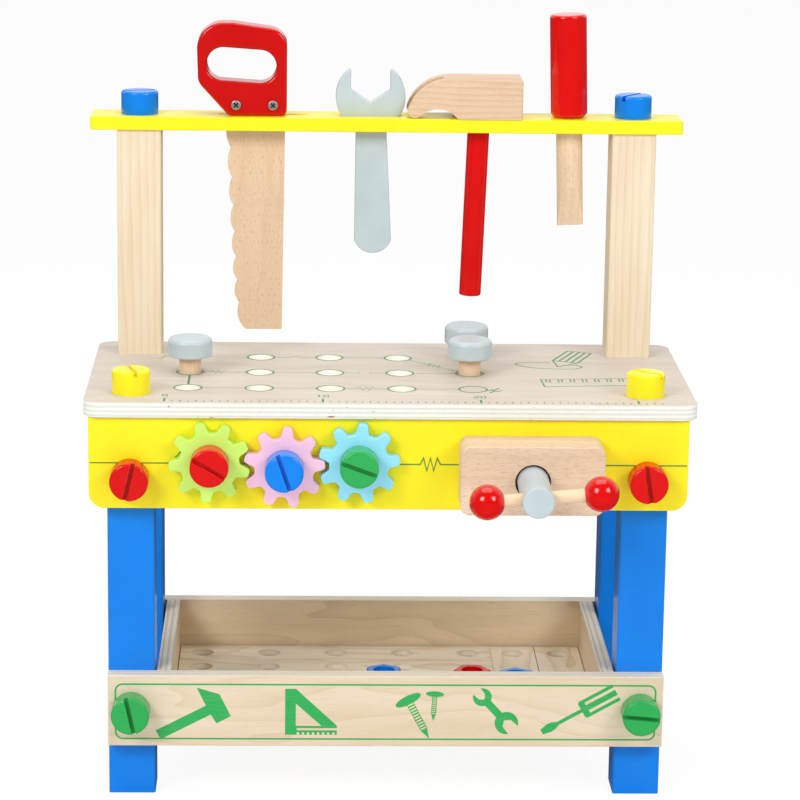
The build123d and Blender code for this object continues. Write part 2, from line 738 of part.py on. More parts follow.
with BuildPart() as vise_garter_pin:
    with BuildSketch(top_plane(garter_pin_x, garter_y, jaw_low)):
        Circle(garter_pin_diameter / 2)
    extrude(amount=garter_pin_length)
save(vise_garter_pin, "vise_garter_pin")

handle_angle = radians(handle_tilt)
handle_direction = (cos(handle_angle), 0, sin(handle_angle))
handle_center = (
    vise_axis_x + handle_shift * cos(handle_angle),
    handle_y,
    vise_axis_z + handle_shift * sin(handle_angle),
)
handle_axis_plane = Plane(origin=handle_center, x_dir=(0, 1, 0), z_dir=handle_direction)

thread_front_y = fixed_jaw_front
thread_turns = int((screw_tail_y - thread_front_y) / vise_thread_pitch)

with BuildPart() as vise_screw:
    with BuildSketch(front_plane(vise_axis_x, screw_tail_y, vise_axis_z)):
        Circle(screw_radius)
    extrude(amount=screw_tail_y - screw_nose_y)
    fillet(vise_screw.edges().sort_by(Axis.Y)[0], vise_screw_nose_radius)
    chamfer(vise_screw.edges().sort_by(Axis.Y)[-1], vise_thread_depth)
    # groove that the garter pin rides in
    groove_width = garter_pin_diameter + 2 * garter_pin_fit
    with BuildSketch(front_plane(vise_axis_x, garter_y + groove_width / 2, vise_axis_z)):
        Circle(screw_radius + cut_past)
        Circle(garter_floor, mode=Mode.SUBTRACT)
    extrude(amount=groove_width, mode=Mode.SUBTRACT)
    # thread, as one ring groove to each pitch
    with BuildSketch(Plane(origin=(vise_axis_x, 0, vise_axis_z), x_dir=(1, 0, 0), z_dir=(0, 0, 1))):
        for turn in range(thread_turns):
            with Locations((screw_radius, thread_front_y + (turn + 0.5) * vise_thread_pitch)):
                Polygon(
                    (cut_past, -vise_thread_depth),
                    (cut_past, vise_thread_depth),
                    (0, vise_thread_depth),
                    (-vise_thread_depth, vise_thread_floor_width / 2),
                    (-vise_thread_depth, -vise_thread_floor_width / 2),
                    (0, -vise_thread_depth),
                )
    revolve(axis=Axis((vise_axis_x, 0, vise_axis_z), (0, 1, 0)), mode=Mode.SUBTRACT)
    # cross hole for the handle
    with BuildSketch(handle_axis_plane):
        Circle(handle_diameter / 2 + handle_fit)
    extrude(amount=vise_screw_diameter, both=True, mode=Mode.SUBTRACT)
save(vise_screw, "vise_screw")

with BuildPart() as vise_handle_rod:
    with BuildSketch(handle_axis_plane):
        Circle(handle_diameter / 2)
    extrude(amount=handle_ball_spacing / 2 - handle_ball_diameter / 2 + handle_ball_seat, both=True)
save(vise_handle_rod, "vise_handle_rod")

with BuildPart() as vise_handle_balls:
    with Locations(handle_axis_plane):
        with Locations((0, 0, -handle_ball_spacing / 2), (0, 0, handle_ball_spacing / 2)):
            Sphere(handle_ball_diameter / 2)
    with BuildSketch(handle_axis_plane):
        Circle(handle_diameter / 2)
    rod_half = handle_ball_spacing / 2 - handle_ball_diameter / 2 + handle_ball_seat
    extrude(amount=rod_half, both=True, mode=Mode.SUBTRACT)
save(vise_handle_balls, "vise_handle_balls")


# ---------------------------------------------------------------- hammer pegs

def make_peg(name, column, row):
    """Round-headed peg that stands a little way out of its hole."""
    x = peg_columns_x[column]
    y = peg_rows_y[row]
    head_low = bench_height + peg_standing_height
    body_top = bench_height - peg_neck_below
    with BuildPart() as peg:
        with BuildSketch(top_plane(x, y, head_low)):
            Circle(peg_head_diameter / 2)
        extrude(amount=peg_head_height)
        fillet(peg.edges().sort_by(Axis.Z)[-1], peg_head_edge_radius)
        fillet(peg.edges().sort_by(Axis.Z)[0], peg_head_under_radius)
        with BuildSketch(top_plane(x, y, body_top)):
            Circle(peg_stem_diameter / 2)
        extrude(amount=head_low - body_top)
        with BuildSketch(top_plane(x, y, body_top - peg_body_length)):
            Circle(peg_hole_diameter / 2 - peg_body_fit)
        extrude(amount=peg_body_length)
        chamfer(peg.faces().sort_by(Axis.Z)[0].edges(), peg_tip_chamfer)
    save(peg, name)


make_peg("peg_left", 0, 1)
make_peg("peg_right_front", 4, 1)
make_peg("peg_right_back", 4, 2)


# ---------------------------------------------------------------- saw

saw_left_x = saw_right_x - saw_handle_width
saw_front_y = rack_y - saw_thickness / 2
saw_screw_x = saw_right_x - saw_screw_inset - saw_screw_spacing / 2
blade_right_x = saw_right_x - saw_blade_inset
blade_left_x = blade_right_x - saw_blade_width
tang_left_x = blade_left_x + saw_tang_inset
blade_low = rack_top - saw_blade_drop
blade_top = rack_top + saw_blade_seat
saw_back_y = rack_y + saw_thickness / 2
grip_center_x = saw_left_x + saw_handle_width / 2
grip_center_z = rack_top + saw_grip_center_height

with BuildPart() as saw_handle:
    with BuildSketch(front_plane(0, saw_back_y, rack_top)):
        with BuildLine():
            FilletPolyline(
                (saw_right_x, 0),
                (saw_right_x, saw_handle_height - saw_shoulder_drop),
                (saw_left_x + saw_crown_x, saw_handle_height),
                (saw_left_x, saw_handle_height - saw_brow_drop),
                (saw_left_x + saw_chin_inset, saw_chin_height),
                (saw_left_x + saw_heel_x, 0),
                radius=[
                    saw_back_corner_radius,
                    saw_shoulder_radius,
                    saw_crown_radius,
                    saw_brow_radius,
                    saw_crown_radius,
                    saw_heel_radius,
                ],
                close=True,
            )
        make_face()
    extrude(amount=saw_thickness)
    with BuildSketch(front_plane(grip_center_x, saw_back_y, grip_center_z)):
        SlotOverall(saw_grip_length, saw_grip_height, rotation=saw_grip_tilt)
    extrude(amount=saw_thickness, mode=Mode.SUBTRACT)
    faces = saw_handle.faces().sort_by(Axis.Y)
    fillet(faces[0].edges() + faces[-1].edges(), saw_edge_radius)
    with BuildSketch(front_plane(0, rack_y + saw_blade_thickness / 2, 0)):
        with Locations(((tang_left_x + blade_right_x) / 2, (rack_top + blade_top) / 2)):
            Rectangle(blade_right_x - tang_left_x, blade_top - rack_top)
    extrude(amount=saw_blade_thickness, mode=Mode.SUBTRACT)
    with BuildSketch(front_plane(saw_screw_x, saw_front_y, rack_top + saw_screw_height)):
        with GridLocations(saw_screw_spacing, 0, 2, 1):
            Circle(saw_screw_shank_diameter / 2)
    extrude(amount=-saw_screw_length, mode=Mode.SUBTRACT)
save(saw_handle, "saw_handle")

with BuildPart() as saw_blade:
    with BuildSketch(front_plane(0, rack_y + saw_blade_thickness / 2, 0)):
        with BuildLine():
            valley_x = blade_left_x + saw_scallop_depth
            valley_z = rack_top - saw_first_scallop_drop
            valleys = [(valley_x, valley_z)]
            for scallop in range(saw_scallops):
                valley_x += saw_valley_lean
                valley_z -= saw_scallop_length - scallop * saw_scallop_shrink
                valleys.append((valley_x, valley_z))
            for (x1, z1), (x2, z2) in zip(valleys, valleys[1:]):
                ThreePointArc((x1, z1), ((x1 + x2) / 2 - saw_scallop_depth, (z1 + z2) / 2), (x2, z2))
            last_x, last_z = valleys[-1]
            toe = (last_x + saw_toe_reach, blade_low)
            ThreePointArc(
                (last_x, last_z),
                (last_x - saw_toe_bulge, blade_low + saw_toe_bulge_height),
                toe,
            )
            Polyline(
                toe,
                (blade_right_x - saw_back_lean, blade_low),
                (blade_right_x, rack_top),
                (blade_right_x, blade_top),
                (tang_left_x, blade_top),
                (tang_left_x, rack_top),
                (blade_left_x, rack_top),
                valleys[0],
            )
        make_face()
    extrude(amount=saw_blade_thickness)
    with BuildSketch(front_plane(saw_screw_x, saw_front_y, rack_top + saw_screw_height)):
        with GridLocations(saw_screw_spacing, 0, 2, 1):
            Circle(saw_screw_shank_diameter / 2)
    extrude(amount=-saw_screw_length, mode=Mode.SUBTRACT)
save(saw_blade, "saw_blade")

with BuildPart() as saw_screws:
    with BuildSketch(front_plane(saw_screw_x, saw_front_y, rack_top + saw_screw_height)):
        with GridLocations(saw_screw_spacing, 0, 2, 1):
            Circle(saw_screw_head_diameter / 2)
    extrude(amount=saw_screw_head_height)
    fillet(saw_screws.faces().group_by(Axis.Y)[0].edges(), saw_screw_dome_radius)
    head_face_y = saw_front_y - saw_screw_head_height
    with BuildSketch(front_plane(saw_screw_x, head_face_y, rack_top + saw_screw_height)):
        with GridLocations(saw_screw_spacing, 0, 2, 1):
            Rectangle(saw_screw_cross_length, saw_screw_cross_width, rotation=45)
            Rectangle(saw_screw_cross_length, saw_screw_cross_width, rotation=-45)
    extrude(amount=-saw_screw_cross_depth, mode=Mode.SUBTRACT)
    with BuildSketch(front_plane(saw_screw_x, saw_front_y, rack_top + saw_screw_height)):
        with GridLocations(saw_screw_spacing, 0, 2, 1):
            Circle(saw_screw_shank_diameter / 2)
    extrude(amount=-saw_screw_length)
save(saw_screws, "saw_screws")


# ---------------------------------------------------------------- wrench

# the round head sinks into its slot until the slot's two ends carry it
wrench_half_slot = wrench_slot_length / 2
wrench_center_z = rack_top + sqrt(wrench_head_radius ** 2 - wrench_half_slot ** 2) + wrench_seat_gap
wrench_plane = front_plane(wrench_x, rack_y + wrench_thickness / 2, wrench_center_z)


def leaned(x, y):
    """Point of the wrench's shank, turned by its lean about the head's centre."""
    lean = radians(wrench_lean)
    return (x * cos(lean) - y * sin(lean), x * sin(lean) + y * cos(lean))


tail_left = leaned(-wrench_tail_width / 2, wrench_tail_arc_height - wrench_length)
tail_right = leaned(wrench_tail_width / 2, wrench_tail_arc_height - wrench_length)

with BuildPart() as wrench:
    with BuildSketch(wrench_plane) as outline:
        Circle(wrench_head_radius)
        with Locations((0, wrench_jaw_height)):
            Polygon(
                (-wrench_jaw_gap / 2, 0),
                (0, -wrench_jaw_height - wrench_jaw_point),
                (wrench_jaw_gap / 2, 0),
                (wrench_jaw_gap / 2, wrench_head_radius),
                (-wrench_jaw_gap / 2, wrench_head_radius),
                mode=Mode.SUBTRACT,
            )
        fillet(outline.vertices().sort_by(Axis.Y)[-2:], wrench_horn_radius)
        with BuildLine():
            Polyline(
                tail_left,
                leaned(-wrench_neck_width / 2, -wrench_head_radius / 2),
                leaned(wrench_neck_width / 2, -wrench_head_radius / 2),
                tail_right,
            )
            ThreePointArc(tail_right, leaned(0, -wrench_length), tail_left)
        make_face()
    extrude(amount=wrench_thickness)
    faces = wrench.faces().sort_by(Axis.Y)
    fillet(faces[0].edges() + faces[-1].edges(), wrench_edge_radius)
save(wrench, "wrench")


# ---------------------------------------------------------------- hammer

hammer_tilt = radians(hammer_lean)
hammer_axis = (sin(hammer_tilt), 0, cos(hammer_tilt))
hammer_seat_plane = Plane(origin=(hammer_handle_x, rack_y, rack_top), x_dir=(0, 1, 0), z_dir=hammer_axis)
handle_below = hammer_handle_drop / cos(hammer_tilt)
handle_above = hammer_handle_seat

with BuildPart() as hammer_handle:
    with BuildSketch(hammer_seat_plane.offset(-handle_below)):
        Circle(hammer_handle_diameter / 2)
    extrude(amount=handle_below + handle_above)
    fillet(hammer_handle.edges().sort_by(Axis.Z)[0], hammer_handle_end_radius)
save(hammer_handle, "hammer_handle")

block_right = hammer_handle_x + hammer_block_reach
block_left = hammer_handle_x - hammer_block_inset
crown_left = hammer_handle_x - hammer_crown_inset
claw_left = hammer_handle_x - hammer_claw_reach
tip = (claw_left, hammer_tip_height)
tip_round = (claw_left + hammer_tip_round_reach, hammer_tip_round_height)
arch_start = (claw_left + hammer_arch_start_reach, hammer_arch_start_height)

with BuildPart() as hammer_head:
    # side outline, a little too deep
    with BuildSketch(front_plane(0, rack_y + hammer_block_depth / 2 + cut_past, rack_top)):
        with BuildLine():
            Line((block_left, 0), (block_right, 0))
            Line((block_right, 0), (block_right, hammer_head_height))
            Line((block_right, hammer_head_height), (crown_left, hammer_head_height))
            ThreePointArc(
                (crown_left, hammer_head_height),
                (claw_left + hammer_cheek_reach, hammer_cheek_height),
                tip,
            )
            ThreePointArc(tip, tip_round, arch_start)
            ThreePointArc(
                arch_start,
                (claw_left + hammer_arch_reach, hammer_arch_height),
                (block_left, 0),
            )
        make_face()
    extrude(amount=hammer_block_depth + 2 * cut_past)
    # seen from above, the head narrows towards the two claws and the notch between them
    with BuildSketch(top_plane(0, rack_y, rack_top - cut_past)):
        Polygon(
            (block_right + cut_past, -hammer_block_depth / 2),
            (block_right + cut_past, hammer_block_depth / 2),
            (block_left, hammer_block_depth / 2),
            (claw_left - cut_past, hammer_claw_tip_depth / 2),
            (claw_left - cut_past, hammer_claw_slot_width / 2),
            (claw_left + hammer_claw_slot_depth, hammer_claw_slot_end_width / 2),
            (claw_left + hammer_claw_slot_depth, -hammer_claw_slot_end_width / 2),
            (claw_left - cut_past, -hammer_claw_slot_width / 2),
            (claw_left - cut_past, -hammer_claw_tip_depth / 2),
            (block_left, -hammer_block_depth / 2),
        )
    extrude(amount=hammer_head_height + 2 * cut_past, mode=Mode.INTERSECT)
    fillet(hammer_head.faces().sort_by(Axis.X)[-1].edges(), hammer_edge_radius)
    # blind hole for the handle
    with BuildSketch(hammer_seat_plane.offset(-hammer_head_height)):
        Circle(hammer_handle_diameter / 2)
    extrude(amount=hammer_head_height + hammer_handle_seat, mode=Mode.SUBTRACT)
save(hammer_head, "hammer_head")


# ---------------------------------------------------------------- screwdriver

driver_tilt = radians(driver_lean)
driver_axis = (-sin(driver_tilt), 0, cos(driver_tilt))
driver_plane = Plane(origin=(driver_x, rack_y, rack_top), x_dir=(0, 1, 0), z_dir=driver_axis)
driver_tip_plane = driver_plane.offset(-driver_shaft_drop)
# the handle leans, so one side of its lower end stands on the rack
driver_seat_rise = (driver_handle_diameter / 2 - driver_handle_chamfer) * sin(driver_tilt) + driver_seat_gap
driver_seat_plane = driver_plane.offset(driver_seat_rise)

with BuildPart() as screwdriver_shaft:
    with BuildSketch(driver_tip_plane):
        Circle(driver_shaft_diameter / 2)
    extrude(amount=driver_shaft_drop + driver_seat_rise + driver_shaft_seat)
    # two flats bring the end down to a blade
    across_flats = (cos(driver_tilt), 0, sin(driver_tilt))
    for side in (-1, 1):
        with BuildSketch(Plane(origin=driver_tip_plane.origin, x_dir=(0, 1, 0), z_dir=across_flats)):
            Polygon(
                (side * driver_tip_thickness / 2, 0),
                (side * driver_shaft_diameter / 2, driver_facet_length),
                (side * driver_shaft_diameter, driver_facet_length),
                (side * driver_shaft_diameter, 0),
            )
        extrude(amount=driver_shaft_diameter, both=True, mode=Mode.SUBTRACT)
save(screwdriver_shaft, "screwdriver_shaft")

with BuildPart() as screwdriver_handle:
    with BuildSketch(driver_seat_plane):
        Circle(driver_handle_diameter / 2)
    extrude(amount=driver_handle_height)
    fillet(screwdriver_handle.edges().sort_by(Axis.Z)[-1], driver_handle_chamfer)
    chamfer(screwdriver_handle.edges().sort_by(Axis.Z)[0], driver_handle_chamfer)
    with BuildSketch(driver_seat_plane):
        Circle(driver_shaft_diameter / 2)
    extrude(amount=driver_shaft_seat, mode=Mode.SUBTRACT)
save(screwdriver_handle, "screwdriver_handle")


# ---------------------------------------------------------------- loose strips and nuts

# the long strips and, across them, the short ones fill the tray's width
long_length = 2 * (tray_inner_x - strip_width) - 3 * strip_gap - strip_corner_gap
strip_pitch = (long_length - 2 * strip_end_margin) / (long_strip_holes - 1)
short_length = (short_strip_holes - 1) * strip_pitch + 2 * strip_end_margin


def make_strip(name, center, holes, along_x):
    """Flat drilled building strip that lies on the tray's base board."""
    length = long_length if along_x else short_length
    width_x, width_y = (length, strip_width) if along_x else (strip_width, length)
    holes_x, holes_y = (holes, 1) if along_x else (1, holes)
    with BuildPart() as strip:
        with BuildSketch(top_plane(*center, tray_base_top)):
            RectangleRounded(width_x, width_y, strip_corner_radius)
            with GridLocations(strip_pitch, strip_pitch, holes_x, holes_y):
                Circle(strip_hole_diameter / 2, mode=Mode.SUBTRACT)
        extrude(amount=strip_thickness)
    save(strip, name)


strip_back = rear_board_front - strip_back_gap
long_x = -tray_inner_x + strip_gap + long_length / 2
long_back_y = strip_back - strip_width / 2
long_front_y = long_back_y - strip_width - strip_gap
short_right_x = tray_inner_x - strip_gap - strip_width / 2
short_left_x = short_right_x - strip_width - strip_gap
short_y = strip_back - short_length / 2
make_strip("long_strip_back", (long_x, long_back_y), long_strip_holes, True)
make_strip("long_strip_front", (long_x, long_front_y), long_strip_holes, True)
make_strip("short_strip_left", (short_left_x, short_y), short_strip_holes, False)
make_strip("short_strip_right", (short_right_x, short_y), short_strip_holes, False)


def make_nut(name, x, y, base_z, turn):
    """Hexagonal nut that lies flat on the base board or on a strip."""
    with BuildPart() as nut:
        with BuildSketch(top_plane(x, y, base_z)):
            RegularPolygon(nut_across_corners / 2, 6, rotation=turn)
        extrude(amount=nut_height)
        rims = nut.edges().group_by(Axis.Z)
        chamfer(rims[0] + rims[-1], nut_edge_chamfer)
        with BuildSketch(top_plane(x, y, base_z)):
            Circle(nut_bore_diameter / 2)
        extrude(amount=nut_height, mode=Mode.SUBTRACT)
    save(nut, name)


for nut_name, (nut_inset, nut_depth, nut_turn) in loose_nuts.items():
    make_nut(nut_name, tray_inner_x - nut_inset, front_board_back + nut_depth, tray_base_top, nut_turn)
strip_nut_y = strip_back - short_length + strip_nut_end_gap
make_nut(
    "blue_nut_right",
    tray_inner_x - strip_nut_inset,
    strip_nut_y,
    tray_base_top + strip_thickness,
    strip_nut_turn,
)
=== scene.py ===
from math import asin, cos, degrees, radians, sin

import bpy
from mathutils import Matrix, Vector
from mathutils.geometry import tessellate_polygon


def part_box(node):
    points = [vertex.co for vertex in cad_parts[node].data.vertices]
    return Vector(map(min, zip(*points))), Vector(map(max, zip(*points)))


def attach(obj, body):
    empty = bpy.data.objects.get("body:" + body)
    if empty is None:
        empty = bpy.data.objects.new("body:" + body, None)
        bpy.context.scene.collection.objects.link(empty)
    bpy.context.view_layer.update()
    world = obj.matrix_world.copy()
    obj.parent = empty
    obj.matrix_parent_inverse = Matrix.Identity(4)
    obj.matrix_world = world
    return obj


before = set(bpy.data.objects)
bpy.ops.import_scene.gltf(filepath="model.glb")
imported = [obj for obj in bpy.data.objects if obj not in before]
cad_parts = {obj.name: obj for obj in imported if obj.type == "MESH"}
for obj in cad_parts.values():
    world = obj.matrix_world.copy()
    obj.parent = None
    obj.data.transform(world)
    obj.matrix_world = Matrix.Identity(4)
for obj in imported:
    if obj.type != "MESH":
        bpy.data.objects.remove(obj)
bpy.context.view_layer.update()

MM = 0.001
X, Y, Z = Vector((1, 0, 0)), Vector((0, 1, 0)), Vector((0, 0, 1))


# ---------------------------------------------------------------- colours

def srgb(red, green, blue):
    """A display colour, 0 to 255, as the linear colour that a shader takes."""
    def linear(value):
        value /= 255
        return value / 12.92 if value <= 0.04045 else ((value + 0.055) / 1.055) ** 2.4
    return (linear(red), linear(green), linear(blue), 1.0)


YELLOW = srgb(253, 238, 26)
BLUE = srgb(4, 128, 232)
RED = srgb(216, 8, 6)
SAW_RED = srgb(198, 10, 8)
GREEN = srgb(48, 171, 86)
GREY = srgb(190, 204, 208)
LIME = srgb(202, 245, 112)
PINK = srgb(247, 198, 222)
SKY = srgb(150, 226, 250)
INK = srgb(40, 174, 86)
RING_INK = srgb(46, 136, 78)
LINK_INK = srgb(126, 168, 118)
APRON_INK = srgb(92, 146, 62)
WOOD_UNDER_PAINT = srgb(226, 200, 160)
PEG_WOOD = srgb(243, 218, 190)
PEG_WOOD_FIBRE = srgb(214, 178, 142)
PLY_PORE = srgb(150, 118, 90)
PLY_VOID = srgb(118, 62, 48)
STEEL_PALE = srgb(226, 226, 222)
STEEL_DULL = srgb(168, 168, 168)
# painted shade for the screw heads' crosses and rims
STEEL_PAINTED_SHADE = srgb(58, 52, 50)
WOOD_UNDER_INK = (0.8, 0.7, 0.55, 1.0)


# ---------------------------------------------------------------- node helpers

class Shader:
    """A node material around one Principled shader, with short calls that add nodes to it."""

    def __init__(self, name, coat=0.0):
        self.material = bpy.data.materials.new(name)
        self.material.use_nodes = True
        self.tree = self.material.node_tree
        self.tree.nodes.clear()
        self.surface = self.tree.nodes.new("ShaderNodeBsdfPrincipled")
        self.surface.inputs["Coat Weight"].default_value = coat
        output = self.tree.nodes.new("ShaderNodeOutputMaterial")
        self.tree.links.new(self.surface.outputs[0], output.inputs[0])
        place = self.tree.nodes.new("ShaderNodeTexCoord")
        self.place_mm = self.vector("SCALE", place.outputs["Object"], scale=1 / MM)

    def put(self, socket, value):
        """Set an input to a constant, or link it to a socket."""
        if isinstance(value, bpy.types.NodeSocket):
            self.tree.links.new(value, socket)
        else:
            socket.default_value = value

    def vector(self, operation, first, second=None, scale=None):
        node = self.tree.nodes.new("ShaderNodeVectorMath")
        node.operation = operation
        self.put(node.inputs[0], first)
        if second is not None:
            self.put(node.inputs[1], second)
        if scale is not None:
            node.inputs["Scale"].default_value = scale
        return node.outputs["Value" if operation in ("LENGTH", "DOT_PRODUCT") else "Vector"]

    def math(self, operation, first, second=0.0, third=None, clamp=False):
        node = self.tree.nodes.new("ShaderNodeMath")
        node.operation = operation
        node.use_clamp = clamp
        self.put(node.inputs[0], first)
        self.put(node.inputs[1], second)
        if third is not None:
            self.put(node.inputs[2], third)
        return node.outputs[0]

    def vary(self, base, noise, amount):
        """A value moved up and down by a noise from 0 to 1, over a whole reach of amount."""
        return self.math("MULTIPLY_ADD", self.math("SUBTRACT", noise, 0.5), amount, base)

    def axis(self, vector, name):
        node = self.tree.nodes.new("ShaderNodeSeparateXYZ")
        self.put(node.inputs[0], vector)
        return node.outputs[name]

    def step(self, value, low, high):
        """0 below low, 1 above high, smooth between; low may be the larger."""
        node = self.tree.nodes.new("ShaderNodeMapRange")
        node.interpolation_type = "SMOOTHSTEP"
        self.put(node.inputs["Value"], value)
        self.put(node.inputs["From Min"], low)
        self.put(node.inputs["From Max"], high)
        return node.outputs["Result"]

    def mix(self, factor, first, second, blend="MIX"):
        node = self.tree.nodes.new("ShaderNodeMix")
        node.data_type = "RGBA"
        node.blend_type = blend
        self.put(node.inputs[0], factor)
        self.put(node.inputs[6], first)
        self.put(node.inputs[7], second)
        return node.outputs[2]

    def noise(self, size, detail=2.0, roughness=0.5, shift=(0, 0, 0)):
        """Noise from 0 to 1 whose features are size millimetres long along X, Y and Z."""
        stretch = [1 / length for length in size]
        moved = self.vector("ADD", self.place_mm, shift)
        node = self.tree.nodes.new("ShaderNodeTexNoise")
        self.put(node.inputs["Vector"], self.vector("MULTIPLY", moved, stretch))
        node.inputs["Scale"].default_value = 1.0
        node.inputs["Detail"].default_value = detail
        node.inputs["Roughness"].default_value = roughness
        return node.outputs[0]

    def flatness(self, normal_axis):
        """How squarely the face looks along an axis, 0 to 1."""
        geometry = self.tree.nodes.new("ShaderNodeNewGeometry")
        return self.math("ABSOLUTE", self.axis(geometry.outputs["True Normal"], normal_axis))

    def edge(self, radius):
        """1 on edges, 0 away from them."""
        geometry = self.tree.nodes.new("ShaderNodeNewGeometry")
        bevel = self.tree.nodes.new("ShaderNodeBevel")
        bevel.samples = 4
        bevel.inputs["Radius"].default_value = radius * MM
        facing = self.vector("DOT_PRODUCT", bevel.outputs[0], geometry.outputs["Normal"])
        flat, rounded = 0.995, 0.80
        return self.step(facing, flat, rounded)

    def bump(self, height, depth, strength):
        """Bump the surface by a height from 0 to 1, depth millimetres deep."""
        node = self.tree.nodes.new("ShaderNodeBump")
        node.inputs["Strength"].default_value = strength
        node.inputs["Distance"].default_value = depth * MM
        self.put(node.inputs["Height"], height)
        self.tree.links.new(node.outputs[0], self.surface.inputs["Normal"])

    def finish(self, color, roughness):
        self.put(self.surface.inputs["Base Color"], color)
        self.put(self.surface.inputs["Roughness"], roughness)
        return self.material


def along(grain, length, width):
    """Feature sizes on X, Y and Z for something long with the grain and thin across it."""
    return tuple(length if name == grain else width for name in "XYZ")


def shade(color, *shares):
    """A colour with each of its channels multiplied by a share."""
    return tuple(share * value for share, value in zip(shares, color)) + (1.0,)


# ---------------------------------------------------------------- wood

def wood_figure(shader, grain, heart, ring_gap, wander):
    """Growth rings round a heart line that runs with the grain: 0 pale wood, 1 a ring's dark line."""
    warp = shader.noise(along(grain, 170, 34), detail=2.0)
    from_heart = shader.vector("SUBTRACT", shader.place_mm, heart)
    across = [0.0 if name == grain else 1.0 for name in "XYZ"]
    distance = shader.vector("LENGTH", shader.vector("MULTIPLY", from_heart, across))
    turns = shader.math("DIVIDE", shader.vary(distance, warp, wander), ring_gap)
    sharpness = 3.0
    return shader.math("POWER", shader.math("FRACT", turns), sharpness)


def wood(name, grain, pale, dark, heart, ring_gap=7.0, ring_depth=0.5, wander=30.0,
         fleck=0.0, fleck_size=(6.0, 0.55)):
    """Sanded, clear-sealed wood with growth rings, fibres and short dark flecks along its grain."""
    fibre_share, cloud_share, base_tone = 0.55, 0.75, 0.22
    fleck_start, fleck_full, fleck_depth = 0.58, 0.68, 1.5
    shader = Shader(name, coat=0.06)
    ring = wood_figure(shader, grain, heart, ring_gap, wander)
    fibre = shader.noise(along(grain, 26, 0.7), detail=3.0, roughness=0.6)
    cloud = shader.noise(along(grain, 110, 24), detail=2.0, shift=(31, 17, 53))
    tone = shader.math("MULTIPLY", ring, ring_depth)
    tone = shader.vary(shader.vary(tone, fibre, fibre_share), cloud, cloud_share)
    tone = shader.math("ADD", tone, base_tone, clamp=True)
    color = shader.mix(tone, pale, dark)
    length, width = fleck_size
    speck = shader.noise(along(grain, length, width), detail=1.0, shift=(7, 91, 23))
    mark = shader.math("MULTIPLY", shader.step(speck, fleck_start, fleck_full), fleck)
    color = shader.mix(mark, color, shade(dark, 0.70, 0.56, 0.44))
    relief = shader.math("SUBTRACT", fibre, shader.math("MULTIPLY", mark, fleck_depth))
    shader.bump(relief, 0.05, strength=0.6)
    return shader.finish(color, shader.math("MULTIPLY_ADD", fibre, 0.16, 0.44))


